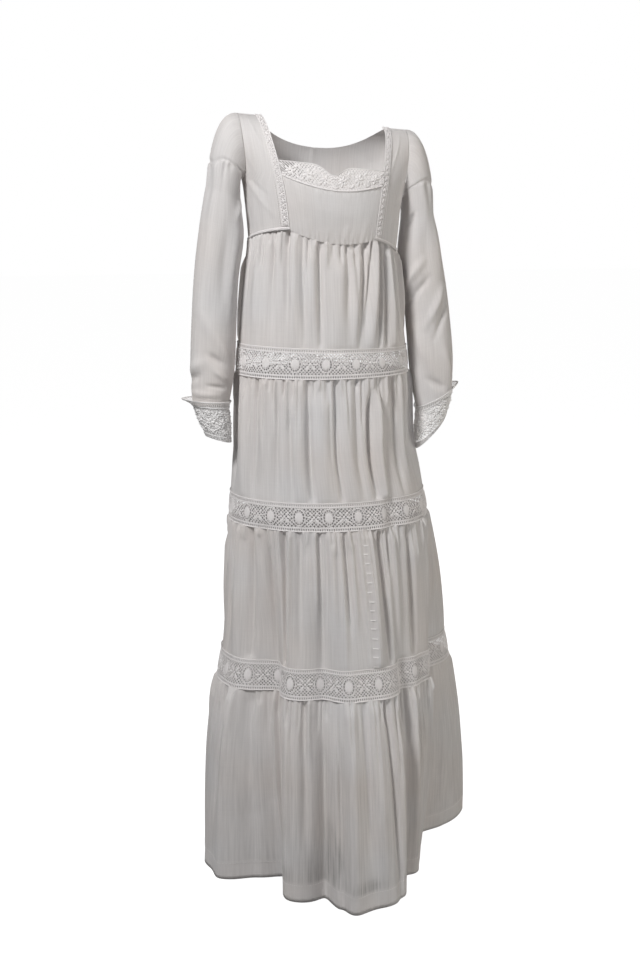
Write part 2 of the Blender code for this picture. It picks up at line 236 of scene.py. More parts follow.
@lru_cache(maxsize=None)
def tilt(drop):
    return at(TILT, drop, 1)


def hang(x, y, drop):
    """A point at its drop below the shoulder, with the shoulders' slight tilt."""
    return Vector((x, y, -drop - tilt(round(drop, 4)) * x))


def round_point(angle, width, front, back, power=ROUNDNESS):
    """A point of a rounded section, at an angle from the centre front."""
    s, c = sin(angle), cos(angle)
    x = width * (1 if s >= 0 else -1) * abs(s) ** (2 / power)
    depth = front if c >= 0 else -back
    return x, -depth * abs(c) ** (2 / power)


def angle_at(x, width):
    """The angle at which a rounded section reaches x."""
    return asin(min(abs(x) / width, 1.0) ** (ROUNDNESS / 2))


@lru_cache(maxsize=None)
def bodice_row(drop):
    """Half width and the depths in front and behind, and the princess seam's place."""
    row = tuple(at(BODICE, drop, column) for column in (1, 2, 3))
    return row + (at(PRINCESS_SEAM, drop, 1),)


def bodice_point(side, angle, drop, behind=False):
    """side 1 is the wearer's left; the angle runs from the centre front or back."""
    width, front, back, _ = bodice_row(round(drop, 4))
    x, y = round_point(angle, width, back if behind else front, back)
    y -= SEAM_GAP / 2
    return hang(side * x, -y if behind else y, drop)


def princess_angle(drop, offset=0.0):
    width, _, _, seam = bodice_row(round(drop, 4))
    return angle_at(seam + offset, width)


@lru_cache(maxsize=None)
def outer_angle(drop):
    """The angle of the armhole edge, or of the side seam below the armhole."""
    if drop >= ARMHOLE_DROP:
        return pi / 2
    last = ARMHOLE_SEAM[-1]
    edge = angle_at(at(ARMHOLE_SEAM, min(drop, last[0]), 1), at(BODICE, drop, 1))
    way = (drop - last[0]) / (ARMHOLE_DROP - last[0])
    return edge if way <= 0 else edge + (pi / 2 - edge) * (1 - (1 - way) ** 0.5)


def empire_drop(angle):
    """The seam under the bust: low at the centre front, high at the princess seams."""
    turn = abs((angle + pi) % (2 * pi) - pi)
    if turn < EMPIRE_CORNER:
        return EMPIRE_CORNER_DROP + EMPIRE_DIP * (1 - (turn / EMPIRE_CORNER) ** 2)
    if turn < pi / 2:
        way = (turn - EMPIRE_CORNER) / (pi / 2 - EMPIRE_CORNER)
        return mix(EMPIRE_CORNER_DROP, EMPIRE_SIDE_DROP, way**1.2)
    return mix(EMPIRE_SIDE_DROP, EMPIRE_BACK_DROP, ease(turn, pi / 2, pi))


def neckline_drop(x):
    return NECKLINE_DROP + NECKLINE_DIP * exp(-((x / NECKLINE_DIP_WIDTH) ** 2))


def lace_foot_drop(x):
    return LACE_FOOT_DROP + LACE_FOOT_DIP * (1 - (x / BIB_HALF_WIDTH) ** 2)


def bib_between(low, high):
    """The centre front between two edges, each a function of the distance across."""

    def surface(u, v):
        across = BIB_HALF_WIDTH * (2 * u - 1)
        drop = mix(low(across), high(across), v)
        x = (bodice_row(round(drop, 4))[3] - SEAM_GAP / 2) * (2 * u - 1)
        angle = angle_at(x, bodice_row(round(drop, 4))[0])
        return bodice_point(1 if x >= 0 else -1, angle, drop)

    return surface


def bib_foot(x):
    return empire_drop(EMPIRE_CORNER * x / BIB_HALF_WIDTH)


def side_front(side, narrow=0.0, bottom_rise=0.0, top_rise=None):
    """The side front, or a strip of it: narrow is the width of one along its inner edge,
    and top_rise is the height of one along its lower edge."""

    def surface(u, v):
        across = u if side > 0 else 1 - u
        bottom_angle = EMPIRE_CORNER if narrow else mix(EMPIRE_CORNER, pi / 2, across)
        bottom = empire_drop(bottom_angle) - bottom_rise
        top = 0.0 if top_rise is None else bottom - top_rise
        drop = mix(bottom, top, v)
        inner = princess_angle(drop, SEAM_GAP / 2)
        outer = princess_angle(drop, narrow) if narrow else outer_angle(round(drop, 5))
        return bodice_point(side, mix(inner, outer, across), drop)

    return surface


def back_half(side):
    """The back, from the centre back to the armhole and side seam."""

    def surface(u, v):
        across = 1 - u if side > 0 else u
        bottom = empire_drop(pi - across * pi / 2)
        top = BACK_NECK_DEPTH * max(1 - (across / BACK_NECK_WIDTH) ** 2, 0)
        drop = mix(bottom, top, v)
        angle = outer_angle(round(drop, 5)) * across
        return bodice_point(side, angle, drop, behind=True)

    return surface


def out_from(surface, u, v, step_u, step_v, side=1):
    """The direction out of a surface; side is -1 where it would point in."""
    across = surface(u + step_u, v) - surface(u - step_u, v)
    up = surface(u, v + step_v) - surface(u, v - step_v)
    return across.cross(up).normalized() * side


def lifted(surface, relief, side=1, closed=False):
    """The same surface, moved out by a relief of u and v."""
    step = 0.002

    def moved(u, v):
        inner_u = u if closed else min(max(u, step), 1 - step)
        inner_v = min(max(v, step), 1 - step)
        out = out_from(surface, inner_u, inner_v, step, step, side)
        return surface(u, v) + out * relief(u, v)

    return moved


def group(name, inputs, outputs):
    """An empty shader node group, with its input and output nodes."""
    made = bpy.data.node_groups.new(name, "ShaderNodeTree")
    for label, kind, value in inputs:
        socket = made.interface.new_socket(label, in_out="INPUT", socket_type=kind)
        if value is not None:
            socket.default_value = value
    for label, kind in outputs:
        made.interface.new_socket(label, in_out="OUTPUT", socket_type=kind)
    return made, made.nodes.new("NodeGroupInput"), made.nodes.new("NodeGroupOutput")


def blend(tree, first, share, second, rest):
    """A share of the first value and the rest of the second."""
    return number(tree, "MULTIPLY_ADD", first, share, number(tree, "MULTIPLY", second, rest))


def slub(tree, cloth, across, down, detail):
    """Streaks of uneven thread, with so many to the metre across and down the cloth."""
    stretched = node(
        tree, "ShaderNodeMapping", {"Vector": cloth, "Scale": (across, down, 1.0)}
    )
    noise = node(
        tree,
        "ShaderNodeTexNoise",
        {"Vector": stretched.outputs[0], "Scale": 1.0, "Detail": detail},
    )
    return noise.outputs["Fac"]


FLOAT, VECTOR = "NodeSocketFloat", "NodeSocketVector"
VOILE_THREADS = 1400.0
weave, weave_in, weave_out = group(
    "plain weave",
    (("Cloth", VECTOR, None), ("Threads", FLOAT, VOILE_THREADS)),
    (("Shade", FLOAT), ("Height", FLOAT), ("Cover", FLOAT)),
)
plane = node(weave, "ShaderNodeSeparateXYZ", {0: weave_in.outputs["Cloth"]})
turns = number(weave, "MULTIPLY", weave_in.outputs["Threads"], 2 * pi)
warp = number(weave, "SINE", number(weave, "MULTIPLY", plane.outputs[0], turns))
weft = number(weave, "SINE", number(weave, "MULTIPLY", plane.outputs[1], turns))
down_slub = slub(weave, weave_in.outputs["Cloth"], 420.0, 14.0, 3.0)
cross_slub = slub(weave, weave_in.outputs["Cloth"], 18.0, 460.0, 2.0)
soft_slub = slub(weave, weave_in.outputs["Cloth"], 60.0, 5.0, 1.0)
slubs = blend(weave, down_slub, 0.8, cross_slub, 0.2)
shade = blend(weave, soft_slub, 0.4, slubs, 0.6)
weave.links.new(shade, weave_out.inputs["Shade"])
weave.links.new(
    number(weave, "MULTIPLY_ADD", slubs, 0.5, number(weave, "MAXIMUM", warp, weft)),
    weave_out.inputs["Height"],
)
weave.links.new(slubs, weave_out.inputs["Cover"])


def ramp(tree, value, low, high):
    """A colour or a number between two, where the value runs from 0.3 to 0.7."""
    kind = "RGBA" if isinstance(low, tuple) else "FLOAT"
    fraction = node(
        tree, "ShaderNodeMapRange", {"Value": value, "From Min": 0.3, "From Max": 0.7}
    )
    made = tree.nodes.new("ShaderNodeMix")
    made.data_type = kind
    first = 6 if kind == "RGBA" else 2
    made.inputs[first].default_value = low
    made.inputs[first + 1].default_value = high
    tree.links.new(fraction.outputs["Result"], made.inputs[0])
    return made.outputs[2 if kind == "RGBA" else 0]


def times(tree, first, second):
    """The product of two colours."""
    made = tree.nodes.new("ShaderNodeMix")
    made.data_type = "RGBA"
    made.blend_type = "MULTIPLY"
    made.inputs[0].default_value = 1.0
    tree.links.new(first, made.inputs[6])
    tree.links.new(second, made.inputs[7])
    return made.outputs[2]


OPEN_LEAST = 0.10
OPEN_MOST = 0.55
COOL_TINT = (0.985, 0.985, 0.995, 1)
WARM_TINT = (1.0, 0.965, 0.945, 1)


def new_cotton(name):
    """A material, its nodes and the pattern map that its threads follow."""
    made = bpy.data.materials.new(name)
    made.use_nodes = True
    tree = made.node_tree
    return made, tree, node(tree, "ShaderNodeUVMap", uv_map="cloth").outputs[0]


def matt_cotton(tree, colour, roughness, height, strength, sheen, translucent):
    """Makes the material soft and matt, with a low relief, and lets some light through."""
    shader = tree.nodes["Principled BSDF"]
    bump = node(
        tree, "ShaderNodeBump", {"Strength": strength, "Distance": 0.0004, "Height": height}
    )
    tree.links.new(colour, shader.inputs["Base Color"])
    tree.links.new(roughness, shader.inputs["Roughness"])
    tree.links.new(bump.outputs[0], shader.inputs["Normal"])
    shader.inputs["Specular IOR Level"].default_value = 0.25
    shader.inputs["Sheen Weight"].default_value = sheen
    back = node(tree, "ShaderNodeBsdfTranslucent", {"Color": colour})
    both = node(
        tree, "ShaderNodeMixShader", {0: translucent, 1: shader.outputs[0], 2: back.outputs[0]}
    )
    tree.links.new(both.outputs[0], tree.nodes["Material Output"].inputs[0])
    return shader


def cloth_material(name, dark, light, cover, translucent):
    """Thin white cotton: it lets some light through, and more where the weave is open."""
    made, tree, pattern = new_cotton(name)
    threads = tree.nodes.new("ShaderNodeGroup")
    threads.node_tree = weave
    tree.links.new(pattern, threads.inputs["Cloth"])
    threads.inputs["Threads"].default_value = VOILE_THREADS
    place = node(tree, "ShaderNodeTexCoord")
    washed = node(
        tree,
        "ShaderNodeTexNoise",
        {"Vector": place.outputs["Object"], "Scale": 7.0, "Detail": 1.0},
    )
    colour = times(
        tree,
        ramp(tree, threads.outputs["Shade"], dark, light),
        ramp(tree, washed.outputs["Fac"], COOL_TINT, WARM_TINT),
    )
    roughness = ramp(tree, threads.outputs["Shade"], 0.95, 0.82)
    shader = matt_cotton(
        tree, colour, roughness, threads.outputs["Height"], 0.25, 0.15, translucent
    )
    open_weave = node(tree, "ShaderNodeAttribute", attribute_name="sheer")
    full_cover = ramp(tree, threads.outputs["Cover"], cover - 0.04, min(cover + 0.03, 1.0))
    streaks = ramp(tree, slub(tree, pattern, 260.0, 9.0, 2.0), OPEN_LEAST, OPEN_MOST)
    opening = number(tree, "MULTIPLY", open_weave.outputs["Fac"], streaks)
    tree.links.new(number(tree, "SUBTRACT", full_cover, opening), shader.inputs["Alpha"])
    return made


voile = cloth_material(
    "white voile",
    dark=(0.72, 0.70, 0.69, 1),
    light=(0.79, 0.775, 0.765, 1),
    cover=0.975,
    translucent=0.06,
)


def piece(name, bm, material, slot, *nodes):
    """Makes the mesh a piece of the dress, in place of the nodes."""
    mesh = bpy.data.meshes.new(name)
    bm.to_mesh(mesh)
    bm.free()
    mesh.materials.append(material)
    made = bpy.data.objects.new(name, mesh)
    bpy.context.scene.collection.objects.link(made)
    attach(made, "root")
    if nodes:
        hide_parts(*nodes)
    return made


MERGE_DISTANCE = 0.00002


def even(v):
    return v


def not_thin(u, v):
    return 0.0


def cloth(surface, columns, rows, cut, closed=False, flip=False, spread=even, thin=not_thin):
    """Cloth on a surface of u across and v up. The pattern map is in metres of the cut, spread
    sets the rows closer where the folds are small, and thin opens the weave."""
    bm = bmesh.new()
    pattern = bm.loops.layers.uv.new("cloth")
    sheer = bm.verts.layers.float.new("sheer")
    bmesh.ops.create_grid(bm, x_segments=columns, y_segments=rows, size=0.5)
    for face in bm.faces:
        face.smooth = True
        for loop in face.loops:
            v = spread(loop.vert.co.y + 0.5)
            loop[pattern].uv = ((loop.vert.co.x + 0.5) * cut[0], v * cut[1])
    for vert in bm.verts:
        u, v = round(vert.co.x + 0.5, 6), spread(vert.co.y + 0.5)
        u = 0.0 if closed and u == 1.0 else u
        vert[sheer] = thin(u, v)
        vert.co = surface(u, v)
    if flip:
        bmesh.ops.reverse_faces(bm, faces=bm.faces)
    if closed:
        bmesh.ops.remove_doubles(bm, verts=bm.verts, dist=MERGE_DISTANCE)
    return bm


# Each drag line: start across and up, end across and up, half width, height
BIB_DRAGS = (
    (0.10, 0.02, 0.13, 0.30, 0.040, 0.0008),
    (0.20, 0.02, 0.21, 0.40, 0.035, 0.0010),
    (0.31, 0.02, 0.30, 0.24, 0.030, 0.0008),
    (0.42, 0.02, 0.44, 0.34, 0.040, 0.0010),
    (0.53, 0.02, 0.52, 0.20, 0.030, 0.0007),
    (0.63, 0.02, 0.66, 0.38, 0.035, 0.0011),
    (0.74, 0.02, 0.73, 0.28, 0.035, 0.0009),
    (0.86, 0.02, 0.88, 0.42, 0.040, 0.0010),
    (0.30, 0.80, 0.36, 1.00, 0.040, 0.0007),
    (0.66, 0.78, 0.62, 1.00, 0.040, 0.0007),
    (0.15, 0.62, 0.85, 0.55, 0.090, 0.0012),
)
PANEL_DRAGS = (
    (0.20, 0.12, 0.85, 0.52, 0.060, 0.0013),
    (0.30, 0.30, 0.95, 0.62, 0.050, -0.0012),
    (0.15, 0.55, 0.60, 0.95, 0.055, 0.0011),
    (0.70, 0.05, 0.62, 0.40, 0.060, 0.0012),
    (0.45, 0.04, 0.40, 0.28, 0.045, 0.0010),
)


def from_line(offset, along):
    """How far along a line a point is, from 0 to 1, and how far away from it."""
    share = (offset[0] * along[0] + offset[1] * along[1]) / hypot(*along) ** 2
    t = min(max(share, 0.0), 1.0)
    return t, hypot(offset[0] - t * along[0], offset[1] - t * along[1])


def drag_relief(drags, wide, tall):
    """Low ridges in the cloth, each along a line between two points of the panel."""

    def relief(u, v):
        out = 0.0
        for u0, v0, u1, v1, half_width, height in drags:
            along = ((u1 - u0) * wide, (v1 - v0) * tall)
            t, away = from_line(((u - u0) * wide, (v - v0) * tall), along)
            fade = sin(pi * (0.08 + 0.84 * t))
            out += height * fade * exp(-((away / (half_width * wide)) ** 2))
        return out

    return relief


BIB_PUCKERS = 17
FOOT_PUCKER = 0.0006
TOP_PUCKER = 0.0003
bib_drags = drag_relief(BIB_DRAGS, wide=0.18, tall=0.10)


def bib_relief(u, v):
    """The drag lines, and small puckers where the bib is eased into its two seams."""
    wave = sin(2 * pi * BIB_PUCKERS * u + 1.2 * sin(2 * pi * 3 * u))
    foot = FOOT_PUCKER * wave * exp(-((v / 0.14) ** 2))
    top = TOP_PUCKER * wave * exp(-(((1 - v) / 0.10) ** 2))
    return bib_drags(u, v) + (foot + top)


bib_surface = lifted(bib_between(bib_foot, lace_foot_drop), bib_relief)
bm = cloth(bib_surface, columns=90, rows=50, cut=(0.185, 0.095))
bib = piece("bib_cloth", bm, voile, "voile", "centre_front")

BACK_HALF_WIDTH = 0.15
BACK_SEAM_DIP = 0.0010
BACK_SEAM_SOFTNESS = 0.0025

for name, side in SIDES.items():
    drags = [
        (1 - u0 if side < 0 else u0, v0, 1 - u1 if side < 0 else u1, v1, half_width, height)
        for u0, v0, u1, v1, half_width, height in PANEL_DRAGS
    ]
    front = lifted(side_front(side), drag_relief(drags, wide=0.09, tall=0.24))
    bm = cloth(front, columns=60, rows=100, cut=(0.095, 0.25))
    front_piece = piece("side_front_cloth_" + name, bm, voile, "voile", "side_front_" + name)

    def back_relief(u, v, drags=drag_relief(drags, wide=0.16, tall=0.22), side=side):
        from_seam = (1 - u if side > 0 else u) * BACK_HALF_WIDTH
        return drags(u, v) - BACK_SEAM_DIP * exp(-((from_seam / BACK_SEAM_SOFTNESS) ** 2))

    bm = cloth(lifted(back_half(side), back_relief), columns=80, rows=90, cut=(0.175, 0.24))
    back_piece = piece("back_cloth_" + name, bm, voile, "voile", "back_" + name)

# Sleeves
# Long sleeves cut in one piece of voile, gathered into the armholes over the shoulder and
# sewn to the lace cuffs. The soft cloth crumples across the forearm.

# Each sleeve row: drop, centre across, centre in depth, half width, half depth
SLEEVE = (
    (0.150, 0.1835, 0.002, 0.0305, 0.0470),
    (0.215, 0.1870, 0.002, 0.0395, 0.0480),
    (0.290, 0.1985, -0.001, 0.0400, 0.0460),
    (0.360, 0.2045, -0.006, 0.0410, 0.0450),
    (0.450, 0.2105, -0.013, 0.0405, 0.0430),
    (0.515, 0.2155, -0.018, 0.0335, 0.0385),
)
CAP_SLANT = 0.010
CAP_LENGTH = 0.30
CAP_PUFF_WIDTH = 0.042
CAP_PUFF_HEIGHT = 0.004
CAP_PUFF_DEPTH = 0.010
VOILE_WALL = 0.0014
SLEEVE_END_SLANT = {"left": 0.023, "right": 0.003}
SLEEVE_AROUND = 0.265
SLEEVE_DOWN = 0.50


def ring_point(side, turn, drop, slant, across, depth, half_width, half_depth):
    """turn 0 is the outer side of the arm, 0.25 its front and 0.5 its inner side."""
    x = across + half_width * cos(2 * pi * turn)
    y = depth - half_depth * sin(2 * pi * turn)
    return hang(side * x, y, drop - slant * cos(2 * pi * turn))


def armhole_point(side, turn):
    """The armhole edge, just outside the bodice."""
    turn %= 1.0
    drop = ARMHOLE_DROP * sin(pi * turn) ** 2
    point = bodice_point(side, outer_angle(round(drop, 5)), drop, behind=turn > 0.5)
    inner = sin(pi * turn) ** 2
    point.x += side * (SEAM_GAP + VOILE_WALL * inner)
    point.z += SEAM_GAP * inner
    return point


@lru_cache(maxsize=None)
def sleeve_row(drop):
    return tuple(at(SLEEVE, drop, column) for column in (1, 2, 3, 4))


def sleeve_point(name, turn, way):
    """The sleeve, from the armhole at way 0 over the gathered cap to the cuff at 1."""
    side = SIDES[name]
    below = max(way - CAP_LENGTH, 0) / (1 - CAP_LENGTH)
    drop = mix(SLEEVE[0][0], SLEEVE[-1][0], below)
    slant = mix(CAP_SLANT, SLEEVE_END_SLANT[name], below)
    low = ring_point(side, turn, drop, slant, *sleeve_row(round(drop, 4)))
    if way >= CAP_LENGTH:
        return low
    high = armhole_point(side, turn)
    outer = 1 - sin(pi * turn) ** 2
    knee = high + Vector(
        (
            side * (CAP_PUFF_HEIGHT + CAP_PUFF_WIDTH * outer),
            -CAP_PUFF_DEPTH * sin(2 * pi * turn),
            CAP_PUFF_HEIGHT * outer,
        )
    )
    t = way / CAP_LENGTH
    return high * (1 - t) ** 2 + knee * 2 * t * (1 - t) + low * t * t


# Each crease: start turn and way, end turn and way, half width, height (in is negative)
SLEEVE_CREASES = {
    "right": (
        (0.190, 0.825, 0.310, 0.850, 0.0060, -0.0036),
        (0.260, 0.775, 0.360, 0.840, 0.0080, 0.0026),
        (0.240, 0.870, 0.350, 0.905, 0.0055, 0.0030),
        (-0.040, 0.920, 0.130, 0.895, 0.0065, -0.0030),
        (0.010, 0.880, 0.170, 0.850, 0.0090, 0.0028),
        (0.190, 0.925, 0.340, 0.930, 0.0035, -0.0024),
        (0.020, 0.960, 0.300, 0.955, 0.0060, 0.0022),
        (0.130, 0.700, 0.260, 0.790, 0.0120, 0.0022),
        (0.140, 0.34, 0.180, 0.66, 0.0120, 0.0028),
        (0.260, 0.40, 0.280, 0.64, 0.0100, -0.0026),
        (0.350, 0.36, 0.340, 0.70, 0.0100, 0.0026),
        (0.420, 0.30, 0.330, 0.38, 0.0070, 0.0028),
        (0.560, 0.55, 0.760, 0.66, 0.0110, 0.0036),
        (0.900, 0.62, 0.690, 0.76, 0.0110, -0.0032),
        (0.620, 0.78, 0.860, 0.86, 0.0100, 0.0034),
        (0.900, 0.40, 0.830, 0.60, 0.0120, 0.0028),
        (0.600, 0.40, 0.680, 0.52, 0.0100, -0.0026),
    ),
    "left": (
        (0.455, 0.60, 0.250, 0.52, 0.0070, -0.0038),
        (0.440, 0.54, 0.270, 0.45, 0.0080, 0.0040),
        (0.250, 0.76, 0.110, 0.62, 0.0075, -0.0038),
        (0.300, 0.70, 0.150, 0.57, 0.0085, 0.0040),
        (0.420, 0.33, 0.340, 0.28, 0.0060, -0.0030),
        (0.400, 0.68, 0.300, 0.88, 0.0100, 0.0034),
        (0.200, 0.80, 0.130, 0.97, 0.0100, 0.0030),
        (0.330, 0.90, 0.200, 0.97, 0.0060, -0.0028),
        (0.120, 0.32, 0.140, 0.52, 0.0120, 0.0026),
        (0.240, 0.34, 0.250, 0.50, 0.0110, -0.0024),
        (0.560, 0.52, 0.770, 0.64, 0.0110, 0.0036),
        (0.900, 0.64, 0.680, 0.74, 0.0110, -0.0032),
        (0.600, 0.80, 0.850, 0.88, 0.0100, 0.0034),
        (0.880, 0.42, 0.820, 0.58, 0.0120, 0.0026),
    ),
}
CAP_GATHERS = 22
CAP_GATHER_TURN = 0.28
CREASE_SCALE = 1.6
SEAM_DIP = 0.0024
SEAM_SOFTNESS = 0.0026

# Each row: turn from the outer side of the arm, way down to the seam across the sleeve head
HEAD_SEAM = (
    (0.00, 0.245),
    (0.09, 0.240),
    (0.20, 0.200),
    (0.25, 0.180),
    (0.32, 0.140),
    (0.38, 0.080),
    (0.43, 0.000),
)


@lru_cache(maxsize=None)
def head_seam(around):
    return at(HEAD_SEAM, around, 1)


def sleeve_relief(name):
    """The creases, the seam across the sleeve head and the gathers below it. Each gather is
    its place, half width, height and reach."""
    creases = SLEEVE_CREASES[name]
    chance = random.Random(7 if name == "left" else 8)
    gathers = [
        (
            (n + chance.uniform(-0.3, 0.3)) / CAP_GATHERS * 2 * CAP_GATHER_TURN
            - CAP_GATHER_TURN,
            chance.uniform(0.0030, 0.0048),
            chance.choice((1, -1)) * chance.uniform(0.0012, 0.0030),
            chance.uniform(0.04, 0.16),
        )
        for n in range(CAP_GATHERS)
    ]

    def relief(turn, way):
        out = 0.0
        for t0, w0, t1, w1, half_width, height in creases:
            along = ((t1 - t0) * SLEEVE_AROUND, (w1 - w0) * SLEEVE_DOWN)
            across = ((turn - t0 + 0.5) % 1 - 0.5) * SLEEVE_AROUND
            t, away = from_line((across, (way - w0) * SLEEVE_DOWN), along)
            fade = sin(pi * (0.1 + 0.8 * t))
            out += CREASE_SCALE * height * fade * exp(-((away / half_width) ** 2))
        around = (turn + 0.5) % 1 - 0.5
        seam = head_seam(round(abs(around), 4))
        below = way - seam
        dip = SEAM_DIP * exp(-((below * SLEEVE_DOWN / SEAM_SOFTNESS) ** 2))
        out -= dip * ease(seam, 0, 0.03)
        if below > 0:
            for place, half_width, height, reach in gathers:
                away = (around - place) * SLEEVE_AROUND / (half_width * (1 + 2 * below / reach))
                fade = exp(-((below / reach) ** 2)) * ease(below, 0, 0.015)
                out += height * exp(-(away**2)) * fade
        return out

    return relief


sleeve_surfaces = {}
for name, side in SIDES.items():

    def sleeve(turn, way, name=name):
        return sleeve_point(name, turn, way)

    crumpled = lifted(sleeve, sleeve_relief(name), side, closed=True)
    sleeve_surfaces[name] = crumpled
    bm = cloth(crumpled, 150, 190, cut=(0.27, 0.50), closed=True, flip=side < 0)
    sleeve_piece = piece("sleeve_cloth_" + name, bm, voile, "voile", "sleeve_" + name)

# Skirt tiers
# Four lengths of voile, each gathered into the seam above it. Each gather dies out
# at its own length, a few run down as folds, and the lowest tier is turned up in a deep hem.

DRESS_LENGTH = 1.430
BAND_TOPS = (0.405, 0.684, 0.990)
BAND_HEIGHTS = (0.055, 0.053, 0.058)
TIER_3_DOWN = 0.255
TIER_4_DOWN = 0.425
HEM_DEPTH = 0.040
HEM_FOLD = 0.0011
SKIRT_ROUNDNESS = 2.0
TUCK = 0.003
TUCK_DEPTH = 0.0009
TUCK_SOFTNESS = 0.003
FOOT_TUCK = 0.0085
FOOT_EASE = 0.004
ROW_SPREAD = 1.35

# Each skirt row: drop, half width, depth in front, depth behind, shift to the left
SKIRT = (
    (0.200, 0.137, 0.103, 0.088, 0.000),
    (0.300, 0.149, 0.113, 0.104, 0.000),
    (0.405, 0.159, 0.123, 0.119, 0.000),
    (0.500, 0.166, 0.131, 0.130, 0.000),
    (0.600, 0.171, 0.141, 0.142, 0.001),
    (0.690, 0.186, 0.150, 0.155, 0.010),
    (0.850, 0.205, 0.167, 0.180, 0.018),
    (0.990, 0.217, 0.182, 0.205, 0.021),
    (1.090, 0.232, 0.200, 0.226, 0.021),
    (1.200, 0.242, 0.220, 0.240, 0.021),
    (1.430, 0.246, 0.240, 0.252, 0.020),
)

# Each large fold: angle from the centre front, half width in degrees, depth at the hem
# (out is positive), sideways lean for each metre of depth, drop where it starts
FOLDS = (
    (-84, 10, 0.016, 0.0, 0.98),
    (-67, 8, 0.022, 0.0, 0.98),
    (-49, 10, -0.076, -0.35, 0.72),
    (-27, 7, 0.010, -0.9, 0.75),
    (-15, 5, -0.022, 0.0, 0.85),
    (-3, 8, 0.034, 0.0, 0.78),
    (12, 9, 0.028, 0.2, 0.74),
    (31, 6, -0.034, 0.3, 0.56),
    (45, 9, -0.036, 0.0, 0.80),
    (56, 8, -0.030, 0.0, 1.00),
    (72, 14, -0.084, 0.1, 0.72),
    (110, 17, 0.062, -0.2, 0.62),
    (140, 8, -0.032, 0.0, 0.68),
    (157, 8, 0.022, 0.4, 0.60),
    (175, 8, -0.030, 0.0, 0.74),
    (194, 9, 0.030, -0.5, 0.64),
    (213, 8, -0.026, 0.0, 0.70),
    (231, 9, 0.026, 0.5, 0.60),
    (250, 8, -0.022, 0.0, 0.80),
)

# Each row: angle from the centre back, in degrees, how far the hem hangs below its level
HEM_LEVEL = (
    (0, -0.006),
    (90, -0.004),
    (130, -0.008),
    (152, -0.002),
    (178, 0.008),
    (205, -0.006),
    (232, -0.022),
    (256, -0.034),
    (295, -0.028),
    (330, -0.014),
    (360, -0.006),
)


def hem_drop(angle):
    return DRESS_LENGTH + at(HEM_LEVEL, (angle * 180 / pi + 180) % 360, 1)


@lru_cache(maxsize=None)
def skirt_row(drop):
    row = tuple(at(SKIRT, drop, column) for column in (1, 2, 3, 4))
    return row + (mix(ROUNDNESS, SKIRT_ROUNDNESS, ease(drop, BODICE[-1][0], BAND_TOPS[0])),)


@lru_cache(maxsize=None)
def folds_at(angle):
    """The large folds that reach an angle: depth there, lean and starting drop."""
    degrees = (angle * 180 / pi + 90) % 360 - 90
    found = []
    for fold_angle, half_width, depth, lean, start in FOLDS:
        away = (degrees - fold_angle + 180) % 360 - 180
        found.append((depth * exp(-((away / half_width) ** 2)), lean, start))
    return [fold for fold in found if abs(fold[0]) > 0.0001]


def skirt_point(angle, drop, out=0.0):
    """A point of the skirt, with the large folds, moved out by a gather."""
    width, front, back, shift, power = skirt_row(round(drop, 4))
    x, y = round_point(angle, width, front, back, power)
    bulge, lean = out, 0.0
    for depth, fold_lean, start in folds_at(round(angle, 4)):
        growth = max(drop - start, 0) / (DRESS_LENGTH - start)
        size = depth * growth**0.8
        bulge += size
        lean += size * fold_lean
    s, c = sin(angle), cos(angle)
    return hang(x + shift + s * bulge + c * lean, y - c * bulge + s * lean, drop)


